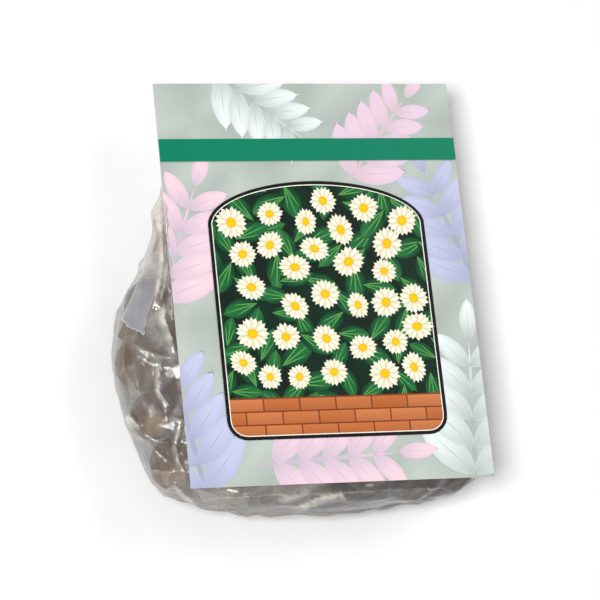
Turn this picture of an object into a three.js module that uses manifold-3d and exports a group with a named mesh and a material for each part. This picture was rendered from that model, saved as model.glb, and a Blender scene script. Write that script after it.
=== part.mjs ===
// Retail bag of flower bulbs: a clear film bag full of bulbs with a printed card on its front.
// The bag lies on its back with the card up. +X is the card's right, +Y its head, +Z up, in millimetres.
import * as THREE from "three";
import { mergeVertices } from "three/addons/utils/BufferGeometryUtils.js";
import Module from "manifold-3d";

const wasm = await Module();
wasm.setup();

// Card: a flat board whose foot edge is at y = 0 and left edge at x = 0, higher at the foot.
const CARD_WIDTH = 210;
const CARD_HEIGHT = 280;
const CARD_THICKNESS = 0.8;
const CARD_TILT = THREE.MathUtils.degToRad(4);
const CARD_FOOT_Z = 62;

// Bag: stations along the card from foot to head. Each gives how far the bag stands out past the
// card's left and right edges, the height of its underside and its depth under the card's plane.
const STATIONS = [
  { y: -14, left: -60, right: -62, under: 24, drop: 22, round: 2 },
  { y: -11.5, left: -34, right: -40, under: 13, drop: 12, round: 2 },
  { y: -6, left: -8, right: -15, under: 4, drop: 4, round: 2.2 },
  { y: 2, left: 9, right: -3, under: 0.6, drop: 0.6, round: 2.4 },
  { y: 12, left: 19, right: 2, under: 0, drop: 0, round: 2.6 },
  { y: 40, left: 30, right: 5, under: 0, drop: 0, round: 2.8 },
  { y: 84, left: 39.5, right: 7, under: 0, drop: 0, round: 2.8 },
  { y: 130, left: 31, right: 5, under: 0, drop: 0, round: 2.8 },
  { y: 170, left: 8, right: 0, under: 0, drop: 0, round: 2.6 },
  { y: 205, left: 1, right: -3, under: 3, drop: 0, round: 2.4 },
  { y: 235, left: -6, right: -6, under: 17, drop: 0, round: 2.2 },
  { y: 262, left: -6, right: -7, under: 35, drop: 0, round: 2 },
  { y: 268, left: -6, right: -7, under: 40.8, drop: 0, round: 2 },
  { y: 277, left: -6, right: -7, under: 40.1, drop: 0, round: 2 },
];
const RING_STEP = 8.5; // spacing of the rings that are drawn between the stations
const RING_POINTS = 36;
const FLATTEN = 1.07; // how much taller a ring is than the space it is pressed flat into
const WALL = 1;
const SEAL_START = 258; // the two walls are welded together from here to the head
const TOUCH_GAP = 0.3;
const FOOT_ROOM = 5.5; // depth of the closed fold at the foot

// The film sinks in between the bulbs that hold it out.
const SINK_MOST = 6;
const SINK_SHARE = 0.7;
const SINK_SPARE = 0.3;
const SINK_OF_DEPTH = 0.22; // and never more than this share of the bag's half depth
const SINK_REACH = 14;

// Vent holes, punched in rows through the underside.
const VENT_RADIUS = 3;
const VENT_SIDES = 10;
const VENT_COLUMNS = [38, 72, 138, 172];
const VENT_ROWS = [45, 150];

// Bulbs: a round body with a basal plate below and a papery neck above.
const BULB_COUNT = 40;
const BULB_RADIUS = { min: 16.2, max: 18.6 };
const BULB_SIDES = 12;
const BULB_CLEAR = 0.05; // how much smaller a bulb is than the balls that stand for it
const BULB_SEED = 101;
// Profile from the basal plate to the tip of the neck: radius and height in body radii.
const BULB_PROFILE = [
  [0, -0.93],
  [0.36, -0.93],
  [0.78, -0.66],
  [1, -0.05],
  [0.86, 0.52],
  [0.44, 0.98],
  [0.22, 1.36],
  [0.15, 1.72],
  [0, 1.76],
];
// Balls that stand for one bulb while the heap settles: place along the axis and radius in body radii.
const BULB_BALLS = [
  [0, 1],
  [0.62, 0.66],
  [1.12, 0.36],
  [1.52, 0.25],
];
// First places of the bulbs: two layers of cells, spread at random within JITTER.
const CELL_COLUMNS = 6;
const CELL_START = new THREE.Vector3(-5, 18, 18);
const CELL_STEP = new THREE.Vector3(42, 44, 24);
const LAYER_SHIFT = { x: 12, y: 14 };
const JITTER = 6;
// Settling of the heap
const SETTLE_STEPS = 800;
const SETTLE_PULL = { y: 0.45, z: 0.3 };
const SETTLE_PULL_SHARE = 0.6; // the rest of the steps only ease the bulbs apart
const PART_SHARE = 0.4; // share of an overlap that each of two bulbs gives way by
const PRESS_MOST = 2;
const FACET_ROOM = 1.1; // room for the flats of the film's inner skin
const CORNER_ROOM = 1.6; // more of it where the foot's corners turn sharply
const CORNER_REACH = 40;
const PROBES = 44;

const TAN_TILT = Math.tan(CARD_TILT);
const FOOT_Y = STATIONS[0].y;
const HEAD_Y = STATIONS[STATIONS.length - 1].y;

// A repeatable random number source between 0 and 1.
function randomSource(seed) {
  let state = seed;
  return () => {
    state = (state + 0x6d2b79f5) | 0;
    let mixed = Math.imul(state ^ (state >>> 15), 1 | state);
    mixed = (mixed + Math.imul(mixed ^ (mixed >>> 7), 61 | mixed)) ^ mixed;
    return ((mixed ^ (mixed >>> 14)) >>> 0) / 4294967296;
  };
}

// Height of the card's underside above the floor, along the card.
const cardUnderside = (y) => CARD_FOOT_Z - y * TAN_TILT;

// Smooth value of one station field at y: a cubic curve through the stations.
function stationValue(field, y) {
  const last = STATIONS.length - 1;
  let i = 0;
  while (i < last - 1 && STATIONS[i + 1].y < y) i += 1;
  const slope = (k) => {
    const low = STATIONS[Math.max(0, k - 1)];
    const high = STATIONS[Math.min(last, k + 1)];
    return (high[field] - low[field]) / (high.y - low.y);
  };
  const [from, to] = [STATIONS[i], STATIONS[i + 1]];
  const span = to.y - from.y;
  const t = THREE.MathUtils.clamp((y - from.y) / span, 0, 1);
  const [t2, t3] = [t * t, t * t * t];
  return (
    from[field] * (2 * t3 - 3 * t2 + 1) +
    to[field] * (3 * t2 - 2 * t3) +
    span * (slope(i) * (t3 - 2 * t2 + t) + slope(i + 1) * (t3 - t2))
  );
}

// The bag's cross-section at y: centre, half sizes and squareness.
function section(y) {
  const low = -stationValue("left", y);
  const high = CARD_WIDTH + stationValue("right", y);
  const under = Math.max(0, stationValue("under", y));
  const top = cardUnderside(y) - TOUCH_GAP - Math.max(0, stationValue("drop", y));
  return {
    x: (low + high) / 2,
    z: (under + top) / 2,
    halfWidth: (high - low) / 2,
    halfDepth: (top - under) / 2,
    round: stationValue("round", y),
  };
}

// One point of the outline of the cross-section at y, for an angle around it and an inset.
function sectionPoint(y, angle, inset) {
  const s = section(y);
  const [c, v] = [Math.cos(angle), Math.sin(angle)];
  const power = 2 / s.round;
  const halfDepth = s.halfDepth - inset;
  const across = Math.sign(c) * Math.abs(c) ** power * (s.halfWidth - inset);
  const rise = Math.sign(v) * Math.abs(v) ** power * halfDepth * FLATTEN;
  return new THREE.Vector3(s.x + across, y, s.z + THREE.MathUtils.clamp(rise, -halfDepth, halfDepth));
}

// Direction from a point of a cross-section into the bag.
function inwardAt(point) {
  const s = section(point.y);
  const across = THREE.MathUtils.clamp(s.x - point.x, -s.halfDepth, s.halfDepth);
  return new THREE.Vector3(across, 0, s.z - point.z).normalize();
}

// How far out of the cavity a point is, below 1 inside, with some room left at its rounded sides.
function cavityMeasure(point, room) {
  const s = section(point.y);
  const across = Math.abs(point.x - s.x) / (s.halfWidth - WALL - room);
  const rise = Math.abs(point.z - s.z) / ((s.halfDepth - WALL - room) * FLATTEN);
  const flat = Math.abs(point.z - s.z) / (s.halfDepth - WALL);
  return Math.max((across ** s.round + rise ** s.round) ** (1 / s.round), flat);
}

// Directions spread evenly over a ball, by the golden angle.
const probes = Array.from({ length: PROBES }, (_, i) => {
  const z = 1 - (2 * (i + 0.5)) / PROBES;
  const turn = i * Math.PI * (3 - Math.sqrt(5));
  const flat = Math.sqrt(1 - z * z);
  return new THREE.Vector3(flat * Math.cos(turn), flat * Math.sin(turn), z);
});

// Bulbs in their first places: loose layers over the cavity, with free directions.
function scatterBulbs() {
  const random = randomSource(BULB_SEED);
  const bulbs = [];
  for (let i = 0; i < BULB_COUNT; i += 1) {
    const layer = i % 2;
    const cell = Math.floor(i / 2);
    const column = cell % CELL_COLUMNS;
    const row = Math.floor(cell / CELL_COLUMNS);
    const centre = new THREE.Vector3(
      CELL_START.x + column * CELL_STEP.x + layer * LAYER_SHIFT.x + random() * JITTER,
      CELL_START.y + row * CELL_STEP.y + layer * LAYER_SHIFT.y + random() * JITTER,
      CELL_START.z + layer * CELL_STEP.z,
    );
    const axis = new THREE.Vector3(random() - 0.5, random() - 0.25, (random() - 0.5) * 0.7).normalize();
    const radius = THREE.MathUtils.lerp(BULB_RADIUS.min, BULB_RADIUS.max, random());
    bulbs.push({ centre, axis, radius });
  }
  return bulbs;
}

// The balls of one bulb, each with its offset along the axis.
function ballsOf(bulb) {
  return BULB_BALLS.map(([along, size]) => ({
    bulb,
    offset: along * bulb.radius,
    radius: size * bulb.radius,
    place: bulb.centre.clone().addScaledVector(bulb.axis, along * bulb.radius),
  }));
}

// Moves one ball of a bulb: the bulb shifts, and turns where the ball is off its centre.
function nudge(ball, shift) {
  ball.bulb.centre.addScaledVector(shift, ball.offset > 0 ? 0.5 : 1);
  if (ball.offset > 0) {
    ball.bulb.axis.addScaledVector(shift, 0.5 / ball.offset).normalize();
  }
}

// Brings a bulb's middle back between the bag's walls, whatever has pushed it.
function keepInBag(bulb) {
  const { centre, radius } = bulb;
  centre.y = Math.max(centre.y, FOOT_Y + FOOT_ROOM + radius);
  const s = section(centre.y);
  const aside = s.halfWidth - WALL - radius;
  const rise = s.halfDepth - WALL - TOUCH_GAP - radius;
  centre.x = THREE.MathUtils.clamp(centre.x, s.x - aside, s.x + aside);
  centre.z = THREE.MathUtils.clamp(centre.z, s.z - rise, s.z + rise);
}

// Pushes a ball back where it stands out of the cavity furthest.
function pressInside(ball) {
  const point = new THREE.Vector3();
  let worst = 0;
  let direction = null;
  for (const probe of probes) {
    point.copy(ball.place).addScaledVector(probe, ball.radius + TOUCH_GAP);
    point.y = THREE.MathUtils.clamp(point.y, FOOT_Y + FOOT_ROOM, SEAL_START);
    const corner = Math.max(0, 1 - (point.y - FOOT_Y) / CORNER_REACH);
    const out = cavityMeasure(point, FACET_ROOM + CORNER_ROOM * corner) - 1;
    if (out * section(point.y).halfDepth > worst) {
      worst = out * section(point.y).halfDepth;
      direction = probe;
    }
  }
  if (direction) nudge(ball, direction.clone().multiplyScalar(-Math.min(PRESS_MOST, worst)));
  const short = FOOT_Y + FOOT_ROOM - (ball.place.y - ball.radius);
  if (short > 0) nudge(ball, new THREE.Vector3(0, short, 0));
}

// Lets the heap settle: bulbs push apart, stay in the cavity, and sink to the floor and the foot.
function settleBulbs() {
  const bulbs = scatterBulbs();
  const shift = new THREE.Vector3();
  for (let step = 0; step < SETTLE_STEPS; step += 1) {
    const calm = Math.max(0, 1 - step / (SETTLE_STEPS * SETTLE_PULL_SHARE));
    for (const bulb of bulbs) {
      bulb.centre.z -= SETTLE_PULL.z * calm;
      bulb.centre.y -= SETTLE_PULL.y * calm;
    }
    const groups = bulbs.map(ballsOf);
    for (let a = 0; a < BULB_COUNT; a += 1) {
      for (let b = a + 1; b < BULB_COUNT; b += 1) {
        for (const one of groups[a]) {
          for (const two of groups[b]) {
            shift.subVectors(two.place, one.place);
            const lap = one.radius + two.radius - shift.length();
            if (lap > 0) {
              shift.setLength(lap * PART_SHARE);
              nudge(two, shift);
              nudge(one, shift.negate());
            }
          }
        }
      }
    }
    for (const bulb of bulbs) {
      keepInBag(bulb);
      for (const ball of ballsOf(bulb)) pressInside(ball);
    }
  }
  return bulbs;
}

// Heights of the rings along the bag: every station, and even steps between them.
function ringHeights() {
  const heights = [];
  for (let i = 0; i < STATIONS.length - 1; i += 1) {
    const [from, to] = [STATIONS[i].y, STATIONS[i + 1].y];
    const steps = Math.max(1, Math.round((to - from) / RING_STEP));
    for (let k = 0; k < steps; k += 1) heights.push(from + ((to - from) * k) / steps);
  }
  heights.push(HEAD_Y);
  return heights;
}

// Free distance from a point along a direction to the nearest bulb, up to SINK_REACH.
function freeDistance(point, direction, balls) {
  let nearest = SINK_REACH;
  const toBall = new THREE.Vector3();
  for (const ball of balls) {
    toBall.subVectors(ball.place, point);
    const along = toBall.dot(direction);
    const reach = ball.radius + WALL + TOUCH_GAP;
    const aside = toBall.lengthSq() - along * along;
    if (along > 0 && aside < reach * reach) {
      nearest = Math.min(nearest, along - Math.sqrt(reach * reach - aside));
    }
  }
  return Math.max(0, nearest);
}

// How deep the film sinks at each ring point, none where it lies on the card or the floor.
function filmSink(heights, balls) {
  const angles = Array.from({ length: RING_POINTS }, (_, k) => (k * 2 * Math.PI) / RING_POINTS);
  const free = heights.map((y) => {
    const s = section(y);
    return angles.map((angle) => {
      const point = sectionPoint(y, angle, 0);
      const pressed = Math.abs(point.z - s.z) > s.halfDepth - 0.01;
      if (pressed || y > SEAL_START || y < STATIONS[2].y) return 0;
      return freeDistance(point, inwardAt(point), balls);
    });
  });
  return free.map((row, i) =>
    row.map((_, k) => {
      let least = SINK_REACH;
      for (let di = -1; di <= 1; di += 1) {
        for (let dk = -1; dk <= 1; dk += 1) {
          const near = free[THREE.MathUtils.clamp(i + di, 0, heights.length - 1)];
          least = Math.min(least, near[(k + dk + RING_POINTS) % RING_POINTS]);
        }
      }
      const most = Math.min(SINK_MOST, section(heights[i]).halfDepth * SINK_OF_DEPTH);
      return THREE.MathUtils.clamp(least * SINK_SHARE - SINK_SPARE, 0, most);
    }),
  );
}

// A closed skin over rings of points, with a fan at each end, as a manifold-3d solid.
function skinSolid(rings) {
  const count = rings[0].length;
  const points = rings.flat();
  const faces = [];
  for (let i = 0; i < rings.length - 1; i += 1) {
    for (let k = 0; k < count; k += 1) {
      const next = (k + 1) % count;
      const [a, b] = [i * count + k, i * count + next];
      faces.push([a, a + count, b], [b, a + count, b + count]);
    }
  }
  const centre = (ring) => ring.reduce((sum, p) => sum.add(p), new THREE.Vector3()).divideScalar(count);
  points.push(centre(rings[0]), centre(rings[rings.length - 1]));
  const [first, last] = [points.length - 2, points.length - 1];
  for (let k = 0; k < count; k += 1) {
    const next = (k + 1) % count;
    faces.push([first, k, next]);
    faces.push([last, (rings.length - 1) * count + next, (rings.length - 1) * count + k]);
  }
  const geometry = new THREE.BufferGeometry();
  geometry.setAttribute("position", new THREE.Float32BufferAttribute(points.flatMap((p) => p.toArray()), 3));
  geometry.setIndex(faces.flat());
  return solidFrom(geometry);
}

// A three.js geometry as a manifold-3d solid.
function solidFrom(geometry) {
  const bare = geometry.clone();
  bare.deleteAttribute("normal");
  bare.deleteAttribute("uv");
  const merged = mergeVertices(bare, 1e-4);
  const mesh = new wasm.Mesh({
    numProp: 3,
    vertProperties: new Float32Array(merged.attributes.position.array),
    triVerts: new Uint32Array(merged.index.array),
  });
  return new wasm.Manifold(mesh);
}

// A manifold-3d solid as a three.js geometry.
function geometryFrom(solid) {
  const mesh = solid.getMesh();
  const geometry = new THREE.BufferGeometry();
  geometry.setAttribute("position", new THREE.Float32BufferAttribute(mesh.vertProperties, 3));
  geometry.setIndex(new THREE.Uint32BufferAttribute(mesh.triVerts, 1));
  geometry.computeVertexNormals();
  return geometry;
}

// The film bag: the outer skin less the inner one, with vent holes through the underside.
function bagGeometry(bulbs) {
  const balls = bulbs.flatMap(ballsOf);
  const heights = ringHeights();
  const sink = filmSink(heights, balls);
  const ring = (i, inset) =>
    Array.from({ length: RING_POINTS }, (_, k) => {
      const point = sectionPoint(heights[i], (k * 2 * Math.PI) / RING_POINTS, inset);
      return point.addScaledVector(inwardAt(point), sink[i][k]);
    });
  const outer = skinSolid(heights.map((_, i) => ring(i, 0)));
  const hollow = heights.map((y, i) => ({ y, i })).filter(({ y }) => y > FOOT_Y && y < SEAL_START);
  let shell = outer.subtract(skinSolid(hollow.map(({ i }) => ring(i, WALL))));
  for (const x of VENT_COLUMNS) {
    for (const y of VENT_ROWS) {
      const punch = new THREE.CylinderGeometry(VENT_RADIUS, VENT_RADIUS, 4 * WALL, VENT_SIDES);
      punch.rotateX(Math.PI / 2).translate(x, y, 0);
      shell = shell.subtract(solidFrom(punch));
    }
  }
  return geometryFrom(shell);
}

// One bulb, turned about +Y, with its neck up.
function bulbGeometry(radius) {
  const profile = BULB_PROFILE.map(([out, up]) => new THREE.Vector2(out * radius, up * radius));
  return new THREE.LatheGeometry(profile, BULB_SIDES);
}

const cardMaterial = new THREE.MeshStandardMaterial({ color: 0xe4e8f0, roughness: 0.35, metalness: 0 });
const filmMaterial = new THREE.MeshStandardMaterial({
  color: 0xb9b3aa,
  roughness: 0.2,
  metalness: 0,
  transparent: true,
  opacity: 0.4,
});
const bulbMaterial = new THREE.MeshStandardMaterial({ color: 0x7d5634, roughness: 0.8, metalness: 0 });

const bag = new THREE.Group();

const cardGeometry = new THREE.BoxGeometry(CARD_WIDTH, CARD_HEIGHT, CARD_THICKNESS);
cardGeometry.translate(CARD_WIDTH / 2, CARD_HEIGHT / 2, CARD_THICKNESS / 2);
const card = new THREE.Mesh(cardGeometry, cardMaterial);
card.name = "card";
card.position.set(0, 0, CARD_FOOT_Z);
card.rotation.x = -CARD_TILT;
bag.add(card);

const bulbs = settleBulbs();
const film = new THREE.Mesh(bagGeometry(bulbs), filmMaterial);
film.name = "bag";
bag.add(film);

const up = new THREE.Vector3(0, 1, 0);
bulbs.forEach((bulb, i) => {
  const mesh = new THREE.Mesh(bulbGeometry(bulb.radius - BULB_CLEAR), bulbMaterial);
  mesh.name = `bulb_${String(i + 1).padStart(2, "0")}`;
  mesh.position.copy(bulb.centre);
  mesh.quaternion.setFromUnitVectors(up, bulb.axis);
  bag.add(mesh);
});

// The origin is the middle of the underside of the whole object's box.
const box = new THREE.Box3().setFromObject(bag, true);
const middle = box.getCenter(new THREE.Vector3());
bag.position.set(-middle.x, -middle.y, -box.min.z);

const part = new THREE.Group();
part.add(bag);

export default part;
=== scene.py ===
"""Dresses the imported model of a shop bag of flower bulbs: film, bulbs, printed card, studio."""
import logging
import math
import random
from collections.abc import Callable, Iterator
from dataclasses import dataclass, field
from enum import Enum

import bmesh
import bpy
import numpy as np
from mathutils import Matrix, Vector, noise
from mathutils.bvhtree import BVHTree


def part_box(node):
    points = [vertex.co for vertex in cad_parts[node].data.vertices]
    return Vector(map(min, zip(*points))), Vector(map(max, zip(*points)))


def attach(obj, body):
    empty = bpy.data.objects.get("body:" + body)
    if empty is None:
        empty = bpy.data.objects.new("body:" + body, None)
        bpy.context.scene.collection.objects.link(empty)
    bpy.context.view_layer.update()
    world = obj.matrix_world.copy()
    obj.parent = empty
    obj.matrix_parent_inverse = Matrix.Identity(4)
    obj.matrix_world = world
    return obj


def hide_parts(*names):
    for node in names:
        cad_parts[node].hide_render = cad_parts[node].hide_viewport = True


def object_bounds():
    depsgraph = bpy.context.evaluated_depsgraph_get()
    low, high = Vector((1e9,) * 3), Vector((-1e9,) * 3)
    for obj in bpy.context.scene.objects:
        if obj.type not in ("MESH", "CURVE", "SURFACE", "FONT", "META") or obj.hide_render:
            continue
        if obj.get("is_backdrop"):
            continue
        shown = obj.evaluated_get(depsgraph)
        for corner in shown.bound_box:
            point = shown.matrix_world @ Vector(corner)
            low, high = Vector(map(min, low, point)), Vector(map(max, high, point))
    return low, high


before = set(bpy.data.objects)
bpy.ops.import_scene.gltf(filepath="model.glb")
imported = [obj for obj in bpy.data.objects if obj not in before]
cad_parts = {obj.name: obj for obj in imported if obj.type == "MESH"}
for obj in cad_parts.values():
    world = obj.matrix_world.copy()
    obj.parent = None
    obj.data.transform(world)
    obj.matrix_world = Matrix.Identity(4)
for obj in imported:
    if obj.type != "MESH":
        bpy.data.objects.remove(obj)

Socket = bpy.types.NodeSocket
CAD_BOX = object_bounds()
MM = 0.001
EYE = Vector((-0.5867, -0.4198, 1.927))  # where the photograph was taken from
ROOT = "root"
logging.basicConfig(level=logging.INFO, format="%(message)s")
log = logging.getLogger("bulb_bag")


def linear(red: int, green: int, blue: int) -> tuple[float, float, float, float]:
    """Gives a colour of a screen, 0 to 255, as the linear light values of a shader.

    Args:
        red: The red value.
        green: The green value.
        blue: The blue value.

    Returns:
        The linear colour, with alpha 1.
    """
    values = []
    for value in (red, green, blue):
        share = value / 255.0
        values.append(share / 12.92 if share <= 0.04045 else ((share + 0.055) / 1.055) ** 2.4)
    return (values[0], values[1], values[2], 1.0)


def blend(one: tuple, two: tuple, share: float) -> tuple:
    """Mixes two colours or points.

    Args:
        one: What share 0 gives.
        two: What share 1 gives.
        share: The share of two.

    Returns:
        The mixed values.
    """
    return tuple(a + (b - a) * share for a, b in zip(one, two))


def smooth_step(low: float, high: float, value: float) -> float:
    """Rises smoothly from 0 at low to 1 at high."""
    share = min(1.0, max(0.0, (value - low) / (high - low)))
    return share * share * (3.0 - 2.0 * share)


def pick_only(thing: bpy.types.Object) -> None:
    """Selects one object alone and makes it the active one."""
    bpy.ops.object.select_all(action="DESELECT")
    thing.select_set(True)
    bpy.context.view_layer.objects.active = thing


def new_object(name: str, data: bpy.types.ID) -> bpy.types.Object:
    """Makes an object of its data and puts it in the scene."""
    thing = bpy.data.objects.new(name, data)
    bpy.context.scene.collection.objects.link(thing)
    return thing


def mesh_piece(name: str, points: list, faces: list) -> bpy.types.Object:
    """Makes a mesh object at the origin from points and faces.

    Args:
        name: The name of the piece.
        points: The points, in metres.
        faces: The faces, as tuples of point numbers.

    Returns:
        The new object.
    """
    mesh = bpy.data.meshes.new(name)
    mesh.from_pydata([tuple(p) for p in points], [], faces)
    mesh.update()
    return new_object(name, mesh)


def grid_faces(rows: int, width: int, start: int = 0) -> list:
    """Gives the faces between rows of points.

    Args:
        rows: How many rows there are.
        width: How many points a row has.
        start: The number of the first point.

    Returns:
        The faces, as tuples of point numbers.
    """
    corners = [start + i * width + k for i in range(rows - 1) for k in range(width - 1)]
    return [(a, a + 1, a + 1 + width, a + width) for a in corners]


def merge_points(piece: bpy.types.Object, reach: float) -> None:
    """Joins a piece's doubled points and turns its faces outwards.

    Args:
        piece: The piece.
        reach: How near two points are that become one.
    """
    pick_only(piece)
    bpy.ops.object.mode_set(mode="EDIT")
    bpy.ops.mesh.select_all(action="SELECT")
    bpy.ops.mesh.remove_doubles(threshold=reach)
    bpy.ops.mesh.normals_make_consistent(inside=False)
    bpy.ops.object.mode_set(mode="OBJECT")


def shade_smooth(piece: bpy.types.Object) -> None:
    """Shades a piece's faces smoothly."""
    for polygon in piece.data.polygons:
        polygon.use_smooth = True


def write_values(piece: bpy.types.Object, **layers: object) -> None:
    """Writes values at a piece's points, which its material reads.

    Args:
        piece: The piece.
        **layers: The values of each layer, by the layer's name.
    """
    for name, values in layers.items():
        layer = piece.data.attributes.new(name, "FLOAT", "POINT")
        layer.data.foreach_set("value", values)


def ramp(values: np.ndarray, low: float, high: float) -> np.ndarray:
    """Rises evenly from 0 at low to 1 at high."""
    return np.clip((values - low) / (high - low), 0.0, 1.0)


def search_tree(*meshes: bpy.types.Mesh) -> BVHTree:
    """Gives the search tree of the faces of one mesh or more.

    Args:
        *meshes: The meshes.

    Returns:
        The tree.
    """
    corners, faces = [], []
    for mesh in meshes:
        start = len(corners)
        corners.extend(v.co.copy() for v in mesh.vertices)
        faces.extend(tuple(start + index for index in p.vertices) for p in mesh.polygons)
    return BVHTree.FromPolygons(corners, faces)


def noise_field(places: np.ndarray, scale: float, seed: int) -> np.ndarray:
    """Gives a smooth random value from 0 to 1 at each point.

    Args:
        places: The points.
        scale: The noise's scale, per metre.
        seed: What shifts it.

    Returns:
        The values.
    """
    shift = Vector((seed * 1.37, seed * 0.71, seed * 2.13))
    return np.array([0.5 + 0.5 * noise.noise(Vector(p) * scale + shift) for p in places])


def dress(piece: bpy.types.Object, material: bpy.types.Material, nodes: tuple = ()) -> None:
    """Gives a piece its finish, its body and the nodes that it stands for.

    Args:
        piece: The finished piece.
        material: Its material.
        nodes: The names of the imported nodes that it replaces.
    """
    piece.data.materials.clear()
    piece.data.materials.append(material)
    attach(piece, ROOT)
    if nodes:
        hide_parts(*nodes)
    log.info("%s: %d faces", piece.name, len(piece.data.polygons))


class NodeKit:
    """Builds the node tree of one material, with short calls for the usual nodes."""

    def __init__(self, name: str) -> None:
        """Starts a material with a lone Principled shader.

        Args:
            name: The material's name.
        """
        self.material = bpy.data.materials.new(name)
        self.material.use_nodes = True
        self.tree = self.material.node_tree
        self.shader = self.tree.nodes["Principled BSDF"]
        self.output = self.tree.nodes["Material Output"]

    def add(self, kind: str, **values: object) -> bpy.types.Node:
        """Adds a node and sets its properties, or its sockets where the name is a socket's.

        Args:
            kind: The node's type.
            **values: Properties, or sockets with blanks written as underscores.

        Returns:
            The new node.
        """
        node = self.tree.nodes.new(kind)
        for name, value in values.items():
            if hasattr(node, name):
                setattr(node, name, value)
            else:
                node.inputs[name.replace("_", " ")].default_value = value
        return node

    def link(self, source: Socket, target: Socket) -> None:
        """Joins two sockets."""
        self.tree.links.new(source, target)

    def place(self) -> Socket:
        """Gives the Object coordinates."""
        return self.add("ShaderNodeTexCoord").outputs["Object"]

    def uv(self) -> Socket:
        """Gives the piece's own UV map."""
        return self.add("ShaderNodeTexCoord").outputs["UV"]

    def attribute(self, name: str, output: str = "Fac") -> Socket:
        """Reads a layer of values, or of colours, from the piece."""
        return self.add("ShaderNodeAttribute", attribute_name=name).outputs[output]

    def scaled(self, source: Socket, scale: tuple) -> Socket:
        """Stretches coordinates by a Mapping node."""
        node = self.add("ShaderNodeMapping", Scale=scale)
        self.link(source, node.inputs["Vector"])
        return node.outputs["Vector"]

    def noise(self, where: Socket, scale: float, detail: float = 4.0) -> Socket:
        """Gives a noise value from 0 to 1.

        Args:
            where: The coordinates.
            scale: Its scale, per metre or per UV unit.
            detail: How many finer layers it has.

        Returns:
            The noise's value.
        """
        node = self.add("ShaderNodeTexNoise", Scale=scale, Detail=detail)
        self.link(where, node.inputs["Vector"])
        return node.outputs["Fac"]

    def remap(self, value: Socket, low: float, high: float, to: tuple) -> Socket:
        """Maps a value from low..high to a new range, held inside it.

        Args:
            value: The value.
            low: What gives the first end of the range.
            high: What gives the second end.
            to: The two ends.

        Returns:
            The mapped value.
        """
        node = self.add("ShaderNodeMapRange", From_Min=low, From_Max=high, To_Min=to[0], To_Max=to[1])
        self.link(value, node.inputs["Value"])
        return node.outputs["Result"]

    def spread(self, value: Socket, low: float, high: float) -> Socket:
        """Maps a value from 0..1 to low..high."""
        return self.remap(value, 0.0, 1.0, (low, high))

    def sum(self, *values: Socket) -> Socket:
        """Adds values."""
        return self._chain("ADD", values)

    def product(self, *values: Socket) -> Socket:
        """Multiplies values."""
        return self._chain("MULTIPLY", values)

    def _chain(self, operation: str, values: tuple) -> Socket:
        """Joins values by one operation."""
        total = values[0]
        for value in values[1:]:
            node = self.add("ShaderNodeMath", operation=operation)
            self.link(total, node.inputs[0])
            self.link(value, node.inputs[1])
            total = node.outputs["Value"]
        return total

    def mix(self, share: object, one: object, two: object, how: str = "MIX") -> Socket:
        """Mixes two colours.

        Args:
            share: The share of the second, a number or a socket.
            one: The first colour or its socket.
            two: The second colour or its socket.
            how: The blend type.

        Returns:
            The mixed colour.
        """
        node = self.add("ShaderNodeMix", data_type="RGBA", blend_type=how)
        for socket, value in ((node.inputs[0], share), (node.inputs[6], one), (node.inputs[7], two)):
            if isinstance(value, Socket):
                self.link(value, socket)
            else:
                socket.default_value = value
        return node.outputs[2]

    def bump(self, height: Socket, depth: float, strength: float = 1.0) -> None:
        """Feeds a height into the shader's normal.

        Args:
            height: The height's value, 0 to 1.
            depth: The relief's depth in metres.
            strength: How much of it shows.
        """
        node = self.add("ShaderNodeBump", Distance=depth, Strength=strength)
        self.link(height, node.inputs["Height"])
        self.link(node.outputs["Normal"], self.shader.inputs["Normal"])

    def set(self, **values: object) -> None:
        """Sets sockets of the shader, with blanks written as underscores."""
        for name, value in values.items():
            self.shader.inputs[name.replace("_", " ")].default_value = value


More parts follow.
